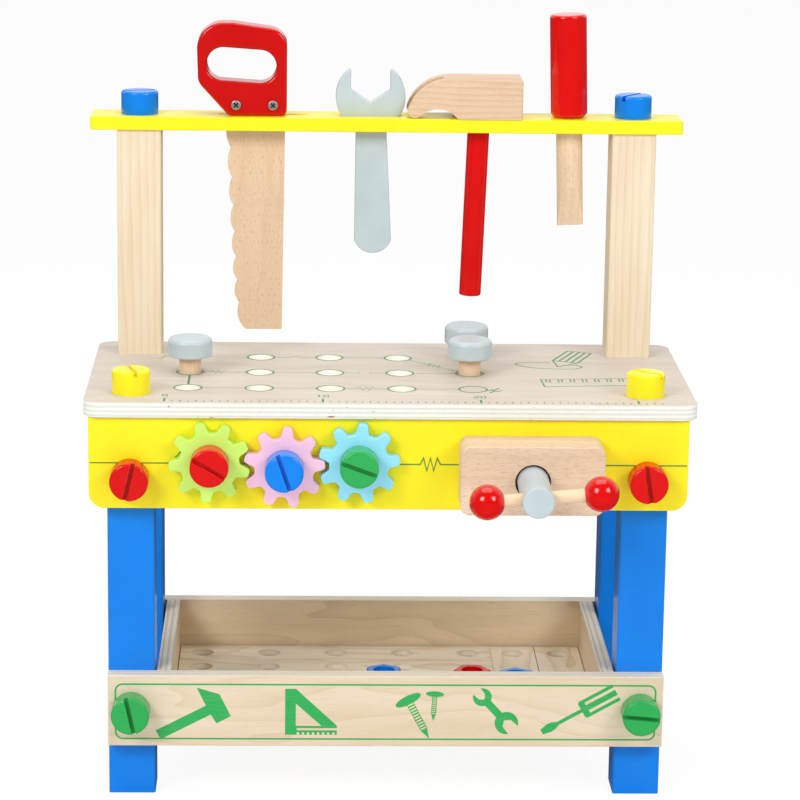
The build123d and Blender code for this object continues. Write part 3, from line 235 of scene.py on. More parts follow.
def plywood(name, thin, grain, box, plies, pale, dark, edge_pale, edge_dark, heart,
            ring_gap=9.0, ring_depth=0.4, wander=34.0, voids=(), bore_painted_light=None):
    """Plywood: a face veneer with its figure, and on the edges the plies, with small dark voids.

    Each of the voids is a centre and three half lengths in millimetres.  The colour for the
    walls of the board's holes, well away from its outer edges, is painted light: a pale colour
    that stands for light shining through the holes.
    """
    fibre_share, cloud_share, base_tone, smudge = 0.45, 0.9, 0.2, 0.3
    odd_ply_tone, glue_tone, grit_share = 0.45, 0.5, 0.5
    rim_out, rim_in = 6, 8
    shader = Shader(name, coat=0.05)
    ring = wood_figure(shader, grain, heart, ring_gap, wander)
    fibre = shader.noise(along(grain, 30, 0.8), detail=3.0, roughness=0.6)
    cloud = shader.noise(along(grain, 120, 22), detail=3.0, shift=(13, 71, 29))
    tone = shader.math("MULTIPLY", ring, ring_depth)
    tone = shader.vary(shader.vary(tone, fibre, fibre_share), cloud, cloud_share)
    tone = shader.math("ADD", tone, base_tone, clamp=True)
    veneer = shader.mix(tone, pale, dark)
    mark = shader.noise(along(grain, 9.0, 0.8), detail=1.0, shift=(41, 5, 67))
    smudged = shader.math("MULTIPLY", shader.step(mark, 0.64, 0.74), smudge)
    veneer = shader.mix(smudged, veneer, dark)

    # plies across the board's thickness
    low, high = box
    index = "XYZ".index(thin)
    thickness = (high[index] - low[index]) / MM
    height = shader.math("SUBTRACT", shader.axis(shader.place_mm, thin), low[index] / MM)
    wobble = shader.noise((60, 60, 60), detail=2.0, shift=(3, 37, 11))
    height = shader.vary(height, wobble, 0.5)
    layer = shader.math("MULTIPLY", height, plies / thickness)
    across = shader.math("ABSOLUTE", shader.math("SUBTRACT", shader.math("FRACT", layer), 0.5))
    glue = shader.step(across, 0.40, 0.48)
    odd = shader.step(shader.math("PINGPONG", layer, 1.0), 0.45, 0.55)
    grit = shader.noise((3.0, 3.0, 3.0), detail=3.0, roughness=0.7)
    ply = shader.math("MULTIPLY_ADD", odd, odd_ply_tone, shader.math("MULTIPLY", glue, glue_tone))
    ply = shader.math("ADD", shader.vary(ply, grit, grit_share), 0.0, clamp=True)
    edge = shader.mix(ply, edge_pale, edge_dark)

    # pores by chance, and the voids that were asked for
    pore_size = (9.0, 9.0, 1.2) if thin == "Z" else (2.0, 2.0, 2.0)
    pore = shader.noise(pore_size, detail=1.0, shift=(83, 19, 47))
    edge = shader.mix(shader.step(pore, 0.77, 0.80), edge, PLY_PORE)
    for place, size in voids:
        offset = shader.vector("DIVIDE", shader.vector("SUBTRACT", shader.place_mm, place), size)
        inside_void = shader.step(shader.vector("LENGTH", offset), 1.0, 0.6)
        edge = shader.mix(inside_void, edge, PLY_VOID)

    # painted light: the walls of the holes, away from the outer edges, take one pale colour that stands
    # for light shining through them
    if bore_painted_light:
        from_center = shader.vector("SUBTRACT", shader.place_mm, tuple((low + high) / 2 / MM))
        from_center = shader.vector("ABSOLUTE", from_center)
        inside = None
        for name in "XYZ".replace(thin, ""):
            limit = (high - low)["XYZ".index(name)] / 2 / MM
            part = shader.step(shader.axis(from_center, name), limit - rim_out, limit - rim_in)
            inside = part if inside is None else shader.math("MULTIPLY", inside, part)
        edge = shader.mix(inside, edge, bore_painted_light)

    side = shader.step(shader.flatness(thin), 0.80, 0.55)
    relief = shader.math("SUBTRACT", fibre, shader.math("MULTIPLY", glue, side))
    shader.bump(relief, 0.05, strength=0.6)
    gloss = shader.math("MULTIPLY_ADD", fibre, 0.15, 0.45)
    return shader.finish(shader.mix(side, veneer, edge), gloss)


# ---------------------------------------------------------------- paint, ink and steel

def paint_color(shader, color, worn):
    """Paint with slight unevenness in its coat, thin on the edges."""
    coat = shader.noise((34, 34, 34), detail=3.0, roughness=0.6)
    body = shader.mix(shader.step(coat, 0.30, 0.70), color, shade(color, 0.93, 0.93, 0.93))
    scuff = shader.noise((5.0, 5.0, 5.0), detail=4.0, roughness=0.7, shift=(61, 3, 17))
    thin = shader.math("MULTIPLY", shader.edge(0.7), shader.step(scuff, 0.50, 0.72))
    return shader.mix(shader.math("MULTIPLY", thin, worn), body, WOOD_UNDER_PAINT)


def orange_peel(shader, fibre, share, depth):
    """The fine dimples of brushed paint, over the wood's fibres."""
    peel = shader.noise((1.6, 1.6, 1.6), detail=2.0)
    shader.bump(shader.math("MULTIPLY_ADD", peel, share, fibre), depth, strength=0.5)


def paint(name, color, grain="Z", gloss=0.26, worn=0.35, coat=0.2):
    """Brushed gloss paint on wood: the grain shows faintly, with a fine orange peel."""
    shader = Shader(name, coat=coat)
    shader.surface.inputs["Coat Roughness"].default_value = 0.12
    shader.surface.inputs["Specular IOR Level"].default_value = 0.3
    body = paint_color(shader, color, worn)
    fibre = shader.noise(along(grain, 40, 1.0), detail=3.0, roughness=0.6)
    orange_peel(shader, fibre, 0.5, 0.014)
    smear = shader.noise((18, 18, 18), detail=2.0, shift=(5, 9, 2))
    return shader.finish(body, shader.math("MULTIPLY_ADD", smear, 0.14, gloss - 0.07))


def half_painted(name, color, edge_height):
    """Peg: painted from a height in millimetres upwards, clear-sealed wood below."""
    blur = 0.15
    shader = Shader(name)
    height = shader.axis(shader.place_mm, "Z")
    painted = shader.step(height, edge_height - blur, edge_height + blur)
    fibre = shader.noise(along("Z", 22, 0.6), detail=3.0, roughness=0.6)
    bare = shader.mix(fibre, PEG_WOOD, PEG_WOOD_FIBRE)
    body = paint_color(shader, color, 0.3)
    orange_peel(shader, fibre, 0.4, 0.02)
    gloss = shader.math("MULTIPLY_ADD", painted, -0.22, 0.52)
    return shader.finish(shader.mix(painted, bare, body), gloss)


def ink(name, color):
    """Printed ink, uneven where the wood's fibres take it less."""
    shader = Shader(name)
    fibre = shader.noise(along("X", 14, 0.5), detail=3.0, roughness=0.65)
    wood_share = 0.12
    pale = tuple((1 - wood_share) * value + wood_share * wood_value
                 for value, wood_value in zip(color, WOOD_UNDER_INK))
    body = shader.mix(shader.step(fibre, 0.52, 0.75), color, pale)
    shader.bump(fibre, 0.02, strength=0.4)
    return shader.finish(body, shader.math("MULTIPLY_ADD", fibre, 0.15, 0.42))


def steel(name, face):
    """Zinc-plated steel, bright on the screw heads' faces, with painted shade that makes their crosses
    and rims dark and less metallic.
    """
    shader = Shader(name)
    mark = shader.noise((0.6, 0.6, 0.6), detail=3.0)
    shader.bump(mark, 0.02, strength=0.5)
    # painted shade: deeper than the head's face, in the cross and round the rim, the steel is painted
    # dark and less metallic
    behind = shader.math("SUBTRACT", shader.axis(shader.place_mm, "Y"), face)
    painted_shade = shader.step(behind, 0.15, 0.55)
    color = shader.mix(mark, STEEL_PALE, STEEL_DULL)
    color = shader.mix(painted_shade, color, STEEL_PAINTED_SHADE)
    metal = shader.math("SUBTRACT", 0.75, shader.math("MULTIPLY", painted_shade, 0.5))
    shader.put(shader.surface.inputs["Metallic"], metal)
    return shader.finish(color, shader.math("MULTIPLY_ADD", mark, 0.2, 0.28))


# ---------------------------------------------------------------- finishes on the CAD nodes

def dress(material, *nodes):
    for node in nodes:
        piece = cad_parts[node]
        if not piece.material_slots:
            piece.data.materials.append(material)
        for slot in piece.material_slots:
            slot.material = material


def center(node):
    low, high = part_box(node)
    return (low + high) / 2


def beside(node, x=0.0, y=0.0, z=0.0):
    """A heart line's place in millimetres, that far from a node's centre."""
    return tuple(center(node) / MM + Vector((x, y, z)))


def dress_frame():
    low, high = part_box("tabletop")
    edge_voids = [
        ((-37.0, low.y / MM, high.z / MM - 8.4), (2.8, 3.0, 0.5)),
        ((-139.0, low.y / MM, high.z / MM - 2.4), (0.7, 3.0, 0.45)),
    ]
    # the tabletop's hole walls get painted light, a near white for light shining through the holes
    dress(plywood("top_plywood", "Z", "X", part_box("tabletop"), 7,
                  srgb(215, 206, 194), srgb(192, 176, 159), srgb(239, 240, 233), srgb(196, 197, 184),
                  beside("tabletop", y=30, z=-160), ring_gap=14, ring_depth=0.30, wander=60,
                  voids=edge_voids, bore_painted_light=srgb(254, 252, 242)), "tabletop")
    for side, lean, pale in (("front", -1, srgb(230, 213, 188)), ("rear", 1, srgb(246, 224, 190))):
        node = f"{side}_tray_panel"
        dress(plywood(f"{node}_plywood", "Y", "X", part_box(node), 7,
                      pale, srgb(206, 180, 144), srgb(244, 238, 222), srgb(208, 188, 158),
                      beside(node, y=lean * 46, z=12), ring_gap=8, ring_depth=0.34, wander=46), node)
    for side, lean in (("left", -1), ("right", 1)):
        node = f"tray_{side}_side"
        dress(plywood(f"{node}_plywood", "X", "Y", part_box(node), 5,
                      srgb(232, 212, 182), srgb(206, 178, 140), srgb(236, 228, 212), srgb(178, 160, 136),
                      beside(node, x=lean * 50, z=-10), ring_gap=8, ring_depth=0.3, wander=30), node)
    dress(plywood("tray_base_plywood", "Z", "X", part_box("tray_base"), 3,
                  srgb(240, 224, 198), srgb(216, 190, 154), srgb(240, 232, 214), srgb(196, 176, 146),
                  beside("tray_base", z=-90), ring_gap=10, ring_depth=0.35, wander=50), "tray_base")
    for node, lean in (("left_post", -1), ("right_post", 1)):
        dress(wood(f"{node}_pine", "Z", srgb(236, 221, 195), srgb(212, 182, 140),
                   beside(node, x=lean * 26, y=-38), ring_gap=3.6, ring_depth=0.34, wander=9), node)
    dress(wood("dowel_pine", "Z", srgb(240, 220, 188), srgb(208, 176, 132), (0, 60, 0)),
          "post_dowels", "tray_dowels")
    dress(paint("leg_blue", BLUE, "Z", gloss=0.30),
          "front_left_leg", "front_right_leg", "rear_left_leg", "rear_right_leg")
    dress(paint("apron_yellow", YELLOW, "X", gloss=0.34), "front_apron", "rear_apron", "tool_rack")


def dress_bolts():
    colors = {
        "tabletop_bolt": YELLOW,
        "rack_bolt": BLUE,
        "apron_bolt": RED,
        "tray_bolt": GREEN,
        "rear_apron_bolt": RED,
        "rear_tray_bolt": GREEN,
    }
    for kind, color in colors.items():
        dress(paint(f"{kind}_paint", color), f"{kind}_left", f"{kind}_right")
    for place, color in (("left", RED), ("middle", BLUE), ("right", GREEN)):
        dress(paint(f"gear_bolt_{place}_paint", color), f"gear_bolt_{place}")


def dress_gears():
    for place, color in (("left", LIME), ("middle", PINK), ("right", SKY)):
        dress(paint(f"gear_{place}_paint", color, "X", gloss=0.36, worn=0.2), f"gear_{place}")


def dress_vise():
    for node in ("vise_fixed_jaw", "vise_jaw"):
        dress(wood(f"{node}_beech", "X", srgb(231, 205, 178), srgb(208, 173, 139),
                   beside(node, y=60, z=-40), ring_gap=10, ring_depth=0.22, wander=20,
                   fleck=0.5, fleck_size=(5.0, 0.45)), node)
    dress(paint("vise_grey", GREY, "Y", gloss=0.34), "vise_screw")
    dress(wood("vise_rod_beech", "X", srgb(240, 212, 176), srgb(212, 172, 130), (0, 0, 0),
               ring_depth=0.15), "vise_handle_rod", "vise_guides")
    dress(paint("vise_ball_red", RED, "X", gloss=0.16, coat=0.6), "vise_handle_balls")


def dress_pegs():
    painted_height = 12.5
    for node in ("peg_left", "peg_right_front", "peg_right_back"):
        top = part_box(node)[1].z / MM
        dress(half_painted(f"{node}_finish", GREY, top - painted_height), node)


def dress_tools():
    dress(paint("saw_red", SAW_RED, "X", gloss=0.2), "saw_handle")
    dress(wood("saw_beech", "Z", srgb(228, 199, 166), srgb(202, 164, 126),
               beside("saw_blade", x=40, y=70), ring_gap=9, ring_depth=0.18, wander=26,
               fleck=0.5, fleck_size=(3.6, 0.40)), "saw_blade")
    dress(steel("screw_steel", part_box("saw_screws")[0].y / MM), "saw_screws", "vise_garter_pin")
    dress(paint("wrench_grey", GREY, "Z", gloss=0.36), "wrench")
    dress(paint("hammer_red", RED, "Z", gloss=0.2), "hammer_handle")
    dress(wood("hammer_beech", "X", srgb(227, 200, 168), srgb(200, 156, 118),
               beside("hammer_head", x=-30, y=20, z=-60), ring_gap=3.4, ring_depth=0.36, wander=14,
               fleck=0.15, fleck_size=(4.0, 0.5)), "hammer_head")
    dress(paint("driver_red", RED, "Z", gloss=0.16, coat=0.6), "screwdriver_handle")
    dress(wood("driver_beech", "Z", srgb(235, 211, 180), srgb(208, 172, 132),
               beside("screwdriver_shaft", x=30), ring_gap=6, ring_depth=0.2, wander=10,
               fleck=0.4, fleck_size=(3.4, 0.4)), "screwdriver_shaft")


def dress_loose_pieces():
    for node, grain in (("long_strip_back", "X"), ("long_strip_front", "X"),
                        ("short_strip_left", "Y"), ("short_strip_right", "Y")):
        dress(plywood(f"{node}_plywood", "Z", grain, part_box(node), 3,
                      srgb(250, 238, 220), srgb(222, 196, 160), srgb(250, 242, 228), srgb(212, 192, 162),
                      beside(node, x=8 if grain == "Y" else 0, z=-30), ring_gap=7, ring_depth=0.6,
                      wander=40), node)
    dress(paint("nut_blue", BLUE, "X"), "blue_nut_middle", "blue_nut_right")
    dress(paint("nut_red", RED, "X"), "red_nut")


# ---------------------------------------------------------------- printed lines and figures

class Print:
    """Thin ink on one flat face.  Places on the face are in millimetres: u across, v up or back."""

    height = 0.05               # above the face
    root = 0.05                 # sunk into it
    layers = 7                  # areas that overlap lie at different heights
    layer_step = 0.004
    sharpest_mitre = 0.35       # cosine past which a corner's mitre grows no longer

    def __init__(self, name, origin, across, up, color):
        self.name = name
        self.origin = origin
        self.across = across
        self.up = up
        self.out = across.cross(up)
        self.color = color
        self.points = []
        self.faces = []
        self.layer = 0

    def area(self, outline, *holes):
        """A filled outline with holes, as a closed thin solid, a hair higher than the one before it."""
        self.layer = (self.layer + 1) % self.layers
        lift = self.layer_step * self.layer
        loops = [list(outline)] + [list(hole) for hole in holes]
        flat = [point for loop in loops for point in loop]
        count = len(flat)
        base = len(self.points)
        for level in (-self.root - lift, self.height + lift):
            for u, v in flat:
                offset = self.across * u + self.up * v + self.out * level
                self.points.append(self.origin + offset * MM)
        for a, b, c in tessellate_polygon([[Vector((u, v, 0)) for u, v in loop] for loop in loops]):
            (au, av), (bu, bv), (cu, cv) = flat[a], flat[b], flat[c]
            if (bu - au) * (cv - av) - (bv - av) * (cu - au) < 0:
                b, c = c, b
            self.faces.append((base + count + a, base + count + b, base + count + c))
            self.faces.append((base + a, base + c, base + b))
        start = 0
        for place, loop in enumerate(loops):
            size = len(loop)
            turn = sum(loop[i - 1][0] * loop[i][1] - loop[i][0] * loop[i - 1][1]
                       for i in range(size))
            outward = (turn > 0) == (place == 0)
            for i in range(size):
                first, second = base + start + i, base + start + (i + 1) % size
                if not outward:
                    first, second = second, first
                self.faces.append((first, second, second + count, first + count))
            start += size

    def line(self, points, width):
        """An open line of even width with square ends and mitred corners."""
        path = [Vector(point) for point in points]
        left, right = [], []
        for i, point in enumerate(path):
            before = (point - path[i - 1]).normalized() if i else None
            after = (path[i + 1] - point).normalized() if i + 1 < len(path) else None
            first, second = before or after, after or before
            mitre = Vector((-first.y - second.y, first.x + second.x)).normalized()
            reach = width / 2 / max(self.sharpest_mitre, mitre.dot(Vector((-first.y, first.x))))
            left.append(tuple(point + mitre * reach))
            right.append(tuple(point - mitre * reach))
        self.area(left + right[::-1])

    def ring(self, u, v, inner, outer):
        self.area(arc(u, v, outer, 0, 360, 48), arc(u, v, inner, 0, 360, 48))

    def figure(self, u, v, turn, outline, *holes):
        """A figure drawn about its own origin, turned by degrees and set down at a place."""
        self.area(turned(outline, u, v, turn), *[turned(hole, u, v, turn) for hole in holes])

    def done(self):
        mesh = bpy.data.meshes.new(self.name)
        mesh.from_pydata(self.points, [], self.faces)
        mesh.validate()
        piece = bpy.data.objects.new(self.name, mesh)
        bpy.context.scene.collection.objects.link(piece)
        mesh.materials.append(ink(f"{self.name}_ink", self.color))
        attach(piece, "root")


def arc(u, v, radius, start, end, steps, squash=1.0):
    """Points on an arc, in degrees; a full turn leaves out the last point."""
    last = steps if abs(end - start) >= 360 else steps - 1
    turns = [radians(start + (end - start) * i / last) for i in range(steps)]
    return [(u + radius * cos(turn), v + squash * radius * sin(turn)) for turn in turns]


def turned(points, u, v, turn):
    """Points turned by degrees about the origin, then moved to a place."""
    c, s = cos(radians(turn)), sin(radians(turn))
    return [(u + c * x - s * y, v + s * x + c * y) for x, y in points]


def zigzag(u_start, u_end, v, swing, peaks):
    """Points of a zigzag between two places on a level line."""
    step = (u_end - u_start) / (peaks + 1)
    points = [(u_start, v)]
    for i in range(peaks):
        points.append((u_start + (i + 1) * step, v + (swing if i % 2 == 0 else -swing)))
    return points + [(u_end, v)]


def digit(character, size):
    """Strokes of a plain printed digit, size high and 0.55 of that wide, about its middle."""
    w, h = 0.275 * size, size / 2
    strokes = {
        "0": [(-w, -h), (-w, h), (w, h), (w, -h), (-w, -h)],
        "1": [(-0.6 * w, 0.6 * h), (0, h), (0, -h)],
        "2": [(-w, h), (w, h), (w, 0), (-w, 0), (-w, -h), (w, -h)],
        "3": [(-w, h), (w, h), (0, 0), (w, 0), (w, -h), (-w, -h)],
    }
    return strokes[character]


def print_tabletop():
    low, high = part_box("tabletop")
    origin = Vector((0, low.y, high.z))
    prints = Print("print_links", origin, X, Y, LINK_INK)
    marks = Print("print_rings", origin, X, Y, RING_INK)

    # the grid of peg holes, read from the pegs that stand in it
    first = center("peg_left") - origin
    last = center("peg_right_back") - origin
    pitch = (last.x - first.x) / 4 / MM
    columns = [first.x / MM + pitch * i for i in range(5)]
    rows = [last.y / MM - pitch * (2 - j) for j in range(3)]
    front, middle, back = rows
    ring_outer, ring_inner, line_width = 9.5, 8.4, 0.85
    for u in columns:
        for v in rows:
            marks.ring(u, v, ring_inner, ring_outer)

    def link(start, end, v):
        prints.line([(start, v), (end, v)], line_width)

    def gap(column):
        """Both ends of the line between a column's ring and the next one's."""
        return columns[column] + ring_outer, columns[column + 1] - ring_outer

    def link_with_zigzag(column, v, peaks, share, reach):
        start, end = gap(column)
        middle_u = start + share * (end - start)
        zig = zigzag(middle_u - reach, middle_u + reach, v, 0.6 * reach, peaks)
        prints.line([(start, v)] + zig + [(end, v)], line_width)

    for column in (0, 1, 3):
        link(*gap(column), front)
    link_with_zigzag(2, front, 5, share=0.5, reach=6.3)
    link_with_zigzag(0, middle, 5, share=0.34, reach=5.4)
    for column in (1, 3):
        link(*gap(column), middle)
    link(*gap(0), back)
    link(*gap(2), back)

    # open contacts in the middle row
    start, end = gap(2)
    halfway, contact, contact_radius = (start + end) / 2, 4.0, 1.1
    link(start, halfway - contact, middle)
    link(halfway + contact, end, middle)
    for side in (-contact, contact):
        prints.area(arc(halfway + side, middle, contact_radius, 0, 360, 16))

    # a raised switch blade in the back row
    start, end = gap(1)
    hinge, blade_end, blade_rise, far_contact = start + 8, start + 17, 4.2, start + 16
    link(start, hinge, back)
    prints.line([(hinge, back), (blade_end, back + blade_rise)], line_width)
    link(far_contact, end, back)

    # ring to ring, straight down the first column
    marks.line([(columns[0], middle - ring_outer), (columns[0], front + ring_outer)], 1.3)

    # tail at the back left
    u = columns[0] - ring_outer
    prints.line([(u, back), (u - 5, back), (u - 8.5, back + 4.4),
                 (u - 11, back - 5.8), (u - 14, back - 5.8)], line_width)

    # slanted link with three short bars
    side_u, side_v = 0.75 * ring_outer, 0.65 * ring_outer
    from_u, from_v = columns[3] + side_u, back - side_v
    to_u, to_v = columns[4] - side_u, middle + side_v
    prints.line([(from_u, from_v), (to_u, to_v)], line_width)
    first_bar, bar_pitch, lean, half_bar = 0.42, 0.09, 1.1, 4.4
    for i in range(3):
        share = first_bar + bar_pitch * i
        u, v = from_u + share * (to_u - from_u), from_v + share * (to_v - from_v)
        prints.line([(u + lean, v + half_bar), (u - lean, v - half_bar)], line_width)

    # two small sparks
    marks.line([(64.0, 38.8), (66.6, 42.4), (67.5, 39.5), (71.1, 46.6)], 1.1)
    marks.line([(64.8, 33.1), (67.9, 37.8), (68.9, 36.4), (73.0, 39.7)], 1.1)

    print_edge_ruler(marks, high.x / MM)
    print_pencil(marks)
    print_small_ruler(marks)
    prints.done()
    marks.done()


def print_edge_ruler(prints, half_width):
    """Centimetre scale along the front edge, with a plain number at each tenth centimetre."""
    zero, near_edge, tick, end_margin = -142.3, 4.2, 5.0, 20
    ten_mark, whole_mark, half_mark = 9.0, 3.4, 2.4
    number_place, digit_size, digit_gap = near_edge + 16.6, 5.0, 4.4
    for i in range(int((half_width - end_margin - zero) / tick) + 1):
        u = zero + tick * i
        if i % 20:
            mark = half_mark if i % 2 else whole_mark
            prints.line([(u, near_edge), (u, near_edge + mark)], 0.8)
            continue
        prints.line([(u, near_edge), (u, near_edge + ten_mark)], 1.3)
        number = str(i // 2)
        for place, character in enumerate(number):
            du = (place - (len(number) - 1) / 2) * digit_gap
            strokes = [(u + du + x, number_place + y) for x, y in digit(character, digit_size)]
            prints.line(strokes, 0.7)


def smooth(points, steps=6):
    """A smooth (Catmull-Rom) curve through the points."""
    places = [Vector(point) for point in points]
    places = [2 * places[0] - places[1]] + places + [2 * places[-1] - places[-2]]
    curve = []
    for before, start, end, after in zip(places, places[1:], places[2:], places[3:]):
        for i in range(steps):
            t = i / steps
            bend = 2 * before - 5 * start + 4 * end - after
            twist = 3 * start - before - 3 * end + after
            curve.append(0.5 * (2 * start + (end - before) * t + bend * t ** 2 + twist * t ** 3))
    return [tuple(point) for point in curve] + [tuple(places[-2])]


def print_pencil(prints):
    """A striped pencil that has just drawn a loose loop."""
    near_left, near_right = Vector((112.3, 129.5)), Vector((128.3, 121.8))
    far_left, far_right = Vector((124.8, 159.8)), Vector((140.2, 152.6))
    tip = (114.3, 110.8)
    stroke, stripes = 1.0, 5
    prints.line([near_left, tip, near_right], stroke)
    prints.line([far_left, far_right], stroke)
    prints.line([near_left, near_right], stroke)
    for i in range(stripes):
        share = i / (stripes - 1)
        prints.line([near_left.lerp(near_right, share), far_left.lerp(far_right, share)], 1.3)
    prints.line(smooth([tip, (119.5, 115.0), (126.0, 116.1), (130.3, 110.5), (124.3, 104.2),
                        (108.1, 104.5), (94.9, 108.4), (86.6, 117.4), (92.5, 122.6),
                        (109.9, 123.1)]), stroke)


def print_small_ruler(prints):
    """A short blank ruler with pairs of ticks."""
    stroke, rise = 0.95, 0.06
    first, pitch, pair, tick, below = 3.2, 8.0, 2.4, 7.6, 1.4
    left, high, low, length = 100.1, 73.2, 51.6, 66.0
    prints.line([(left + length, high + rise * length), (left, high), (left + 1.2, low),
                 (left + length, low + 1.6 * rise * length)], stroke)
    for i in range(8):
        for shift in (0.0, pair):
            u = left + first + pitch * i + shift
            v = high + rise * (u - left) - below
            prints.line([(u, v), (u + 0.2, v - tick)], stroke)


def print_apron():
    """A level line with a switch and a zigzag, behind the gears and the vise."""
    low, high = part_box("front_apron")
    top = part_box("tabletop")[1].z
    prints = Print("print_apron", Vector((0, low.y, top)), X, Z, APRON_INK)
    level, width, end_gap = -39.8, 0.9, 0.9
    left, right = low.x / MM + end_gap, high.x / MM - end_gap
    switch, zig = (-138.5, -127.5), (19.5, 32.5)
    prints.line([(left, level), (switch[0], level)], width)
    prints.line([(switch[0], level), (switch[1] - 3.0, level + 8.8)], width)
    prints.line([(switch[1], level)] + zigzag(*zig, level, 4.2, 5) + [(right, level)], width)
    prints.done()


def print_panel():
    """Tool figures in a thin frame on the tray's front panel."""
    low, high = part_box("front_tray_panel")
    prints = Print("print_panel", Vector((0, low.y, high.z)), X, Z, INK)
    corner, stroke = 5.2, 1.1
    side_inset, top_inset, bottom_inset = 4.5, 5.3, 4.4
    left, right = low.x / MM + side_inset, high.x / MM - side_inset
    up, down = -top_inset, (low.z - high.z) / MM + bottom_inset
    outer, inner = [
        arc(right - corner, up - corner, radius, 0, 90, 8)
        + arc(left + corner, up - corner, radius, 90, 180, 8)
        + arc(left + corner, down + corner, radius, 180, 270, 8)
        + arc(right - corner, down + corner, radius, 270, 360, 9)[:8]
        for radius in (corner, corner - stroke)
    ]
    prints.area(outer, inner)
    print_hammer(prints)
    print_set_square(prints)
    print_screw(prints, 14.2, -16.1, -62, head=(9.0, 3.0), half=2.4, shaft=(4.0, 22.0),
                tip=29.5, bars=9)
    print_screw(prints, 31.4, -11.9, -93, head=(5.9, 1.9), half=1.6, shaft=(2.2, 13.5),
                tip=18.4, bars=8)
    print_wrench(prints)
    print_driver(prints)
    prints.done()


def print_hammer(prints):
    half, length = 3.4, 36.4
    outline = [(0, -half), (length, -half), (length + 0.6, -10.4), (length + 11.0, -10.3),
               (length + 11.4, 6.2), (length + 0.4, 16.9), (length, half), (0, half)]
    prints.figure(-146.7, -40.0, 27.5, outline)


def print_set_square(prints):
    """A set square with a comb of ruler marks under its foot."""
    left, right, up, down = -65.0, -31.6, -8.6, -39.7
    leg, bar_low = 6.9, -35.2
    leg_right, comb_left = left + leg, left + leg + 0.6
    outline = [(left, up), (leg_right, up), (right, bar_low + 1.7), (right, bar_low),
               (comb_left, bar_low), (comb_left, down), (left, down)]
    window = [(leg_right, up - 10.0), (right - 9.9, bar_low + 1.5), (leg_right, bar_low + 1.5)]
    prints.area(outline, window)
    comb_top, comb_bottom, tooth_top = bar_low - 1.5, bar_low - 2.8, bar_low - 2.5
    prints.area([(comb_left, comb_top), (comb_left, comb_bottom),
                 (right, comb_bottom), (right, comb_top)])
    first, pitch, tooth = 1.6, 3.25, 1.8
    for i in range(8):
        start = comb_left + first + pitch * i
        end = min(start + tooth, right)
        prints.area([(start, tooth_top), (start, down), (end, down), (end, tooth_top)])


def print_screw(prints, u, v, turn, head, half, shaft, tip, bars):
    """A screw: an oval head, a shaft of bars between thin sides, and a point."""
    across, thick = head
    start, end = shaft
    oval = [(y, x) for x, y in arc(0, 0, across, 0, 360, 32, squash=thick / across)]
    prints.figure(u, v, turn, oval)
    neck, side = 0.5, 0.45
    for lean in (-1, 1):
        outer, inner = lean * half, lean * (half - side)
        prints.figure(u, v, turn, [(neck, outer), (end, outer), (end, inner), (neck, inner)])
    pitch = (end - start) / bars
    for i in range(bars):
        near = start + pitch * i
        far = near + 0.5 * pitch
        prints.figure(u, v, turn, [(near, -half), (far, -half), (far, half), (near, half)])
    prints.figure(u, v, turn, [(end, -half), (tip, 0), (end, half)])


def open_end(radius, mouth, depth):
    """Outline of an open jaw about its own centre, with its mouth along -x."""
    edge = degrees(asin(mouth / 2 / radius))
    lip_u, lip_v = -0.1 * depth, 0.42 * mouth
    jaw = arc(0, 0, radius, 180 + edge, 540 - edge, 28)
    return jaw + [(lip_u, lip_v), (depth, 0), (lip_u, -lip_v)]


def print_wrench(prints):
    """A wrench with a small open end at the upper left and a large one at the lower right."""
    u, v, turn, length = 62.0, -13.9, -47.7, 23.6
    small, large, half = 6.1, 7.6, 2.5
    stem_start, stem_end = 3.5, length - 4.5
    prints.figure(u, v, turn, open_end(small, 6.2, 2.0))
    far = turned([(length, 0)], u, v, turn)[0]
    prints.figure(*far, turn + 180, open_end(large, 8.2, 2.4))
    prints.figure(u, v, turn, [(stem_start, -half), (stem_end, -half),
                               (stem_end, half), (stem_start, half)])


def print_driver(prints):
    """A screwdriver with its point at the lower left and two slots in its handle."""
    u, v, turn = 100.8, -37.4, 29.7
    shoulder, end, half = 29.4, 54.9, 6.1
    slot_start, slot_near, slot_far, round_off = 33.6, 1.9, 3.9, 1.2
    handle = [(end, half), (shoulder + round_off, half), (shoulder, half - round_off),
              (shoulder, round_off - half), (shoulder + round_off, -half), (end, -half),
              (end, -slot_far), (slot_start, -slot_far), (slot_start, -slot_near), (end, -slot_near),
              (end, slot_near), (slot_start, slot_near), (slot_start, slot_far), (end, slot_far)]
    prints.figure(u, v, turn, handle)
    blade = [(0, -1.8), (5.5, -3.0), (9.0, -2.6), (11.8, -1.2), (shoulder, -1.2),
             (shoulder, 1.2), (11.8, 1.2), (9.0, 2.6), (5.5, 3.0), (0, 1.8)]
    prints.figure(u, v, turn, blade)


# ---------------------------------------------------------------- floor, light and camera

def choose(tree, factor, first, second):
    """The first shader where the factor is 0, and the second where it is 1."""
    node = tree.nodes.new("ShaderNodeMixShader")
    for place, socket in enumerate((factor, first, second)):
        tree.links.new(socket, node.inputs[place])
    return node.outputs[0]


def glow(tree, strength):
    node = tree.nodes.new("ShaderNodeEmission")
    node.inputs["Color"].default_value = (1, 1, 1, 1)
    node.inputs["Strength"].default_value = strength
    return node.outputs[0]


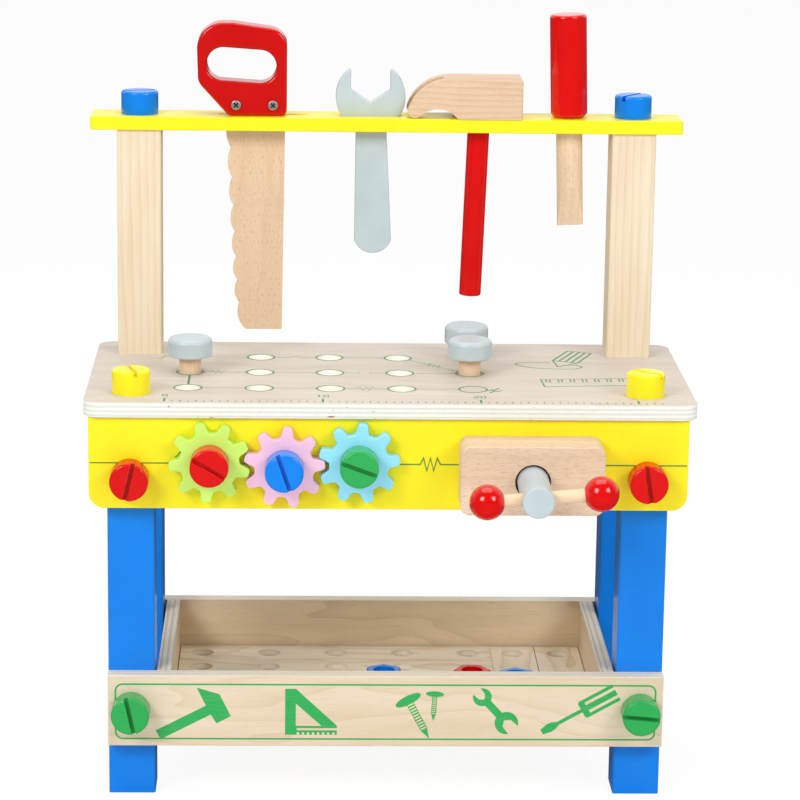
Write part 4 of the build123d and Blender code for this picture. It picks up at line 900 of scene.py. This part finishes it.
def stage_floor():
    """A wide floor: near white to the camera with the bench's shadow, and dark in glossy surfaces."""
    half = 12.0
    floor_color = (0.9, 0.9, 0.9, 1)
    seen_glow, glow_share, mirrored_glow = 1.04, 0.87, 0.07
    mesh = bpy.data.meshes.new("floor")
    corners = [(-half, -half, 0), (half, -half, 0), (half, half, 0), (-half, half, 0)]
    mesh.from_pydata(corners, [], [(0, 1, 2, 3)])
    floor = bpy.data.objects.new("floor", mesh)
    bpy.context.scene.collection.objects.link(floor)

    material = bpy.data.materials.new("floor_white")
    material.use_nodes = True
    tree = material.node_tree
    tree.nodes.clear()
    diffuse = tree.nodes.new("ShaderNodeBsdfDiffuse")
    diffuse.inputs["Color"].default_value = floor_color
    rays = tree.nodes.new("ShaderNodeLightPath")
    share = tree.nodes.new("ShaderNodeMath")
    share.operation = "MULTIPLY"
    share.inputs[1].default_value = glow_share
    tree.links.new(rays.outputs["Is Camera Ray"], share.inputs[0])
    seen = choose(tree, share.outputs[0], diffuse.outputs[0], glow(tree, seen_glow))
    mirrored = choose(tree, rays.outputs["Is Glossy Ray"], seen, glow(tree, mirrored_glow))
    output = tree.nodes.new("ShaderNodeOutputMaterial")
    tree.links.new(mirrored, output.inputs[0])
    mesh.materials.append(material)


def world_light(strength, mirrored_front, mirrored_back):
    """An even pale room that lights softly and shows white behind the bench.

    In glossy surfaces the room shows dark in front of the bench and pale behind it.
    """
    white, front_y, back_y = 1.0, -0.1, 0.6
    world = bpy.data.worlds.new("studio")
    bpy.context.scene.world = world
    world.cycles.sampling_method = "NONE"
    world.use_nodes = True
    tree = world.node_tree
    tree.nodes.clear()

    def room(value):
        node = tree.nodes.new("ShaderNodeBackground")
        node.inputs["Color"].default_value = (1, 1, 1, 1)
        if isinstance(value, bpy.types.NodeSocket):
            tree.links.new(value, node.inputs["Strength"])
        else:
            node.inputs["Strength"].default_value = value
        return node.outputs[0]

    way = tree.nodes.new("ShaderNodeTexCoord")
    parts = tree.nodes.new("ShaderNodeSeparateXYZ")
    tree.links.new(way.outputs["Generated"], parts.inputs[0])
    depth = tree.nodes.new("ShaderNodeMapRange")
    tree.links.new(parts.outputs["Y"], depth.inputs["Value"])
    depth.inputs["From Min"].default_value = front_y
    depth.inputs["From Max"].default_value = back_y
    depth.inputs["To Min"].default_value = mirrored_front
    depth.inputs["To Max"].default_value = mirrored_back
    rays = tree.nodes.new("ShaderNodeLightPath")
    color = choose(tree, rays.outputs["Is Glossy Ray"], room(strength), room(depth.outputs[0]))
    color = choose(tree, rays.outputs["Is Camera Ray"], color, room(white))
    color = choose(tree, rays.outputs["Is Transmission Ray"], color, room(white))
    output = tree.nodes.new("ShaderNodeOutputWorld")
    tree.links.new(color, output.inputs[0])


def softbox(name, place, target, size, power):
    light = bpy.data.lights.new(name, "AREA")
    light.shape = "RECTANGLE"
    light.size, light.size_y = size
    light.energy = power
    lamp = bpy.data.objects.new(name, light)
    bpy.context.scene.collection.objects.link(lamp)
    lamp.location = place
    lamp.rotation_euler = (Vector(target) - Vector(place)).to_track_quat("-Z", "Y").to_euler()


def light_stage():
    world_light(0.5, mirrored_front=0.04, mirrored_back=1.0)
    middle = (0, 0, 0.25)
    softbox("key", (-1.4, -1.7, 1.6), middle, (0.9, 0.9), 30)
    softbox("fill", (1.5, -1.5, 1.5), middle, (0.9, 0.9), 21)
    softbox("top", (0.0, 0.2, 2.0), middle, (1.6, 1.2), 13)


def set_camera():
    """A long lens, a little above the rack and almost straight in front."""
    place = Vector((-0.0585, -2.0025, 0.7243))
    heading, pitch, roll = radians(1.905), radians(13.245), radians(0.799)
    forward = Vector((sin(heading) * cos(pitch), cos(heading) * cos(pitch), -sin(pitch)))
    level = Vector((cos(heading), -sin(heading), 0))
    upward = level.cross(forward)
    right = level * cos(roll) + upward * sin(roll)
    up = upward * cos(roll) - level * sin(roll)
    data = bpy.data.cameras.new("camera")
    data.sensor_width = 36.0
    data.lens = 142.92
    data.clip_start, data.clip_end = 0.05, 60
    camera = bpy.data.objects.new("camera", data)
    bpy.context.scene.collection.objects.link(camera)
    turn = Matrix((right, up, -forward)).transposed()
    camera.matrix_world = Matrix.Translation(place) @ turn.to_4x4()
    bpy.context.scene.camera = camera


# ---------------------------------------------------------------- the scene

dress_frame()
dress_bolts()
dress_gears()
dress_vise()
dress_pegs()
dress_tools()
dress_loose_pieces()
print_tabletop()
print_apron()
print_panel()
stage_floor()
light_stage()
set_camera()
bpy.context.scene.view_settings.view_transform = "Standard"
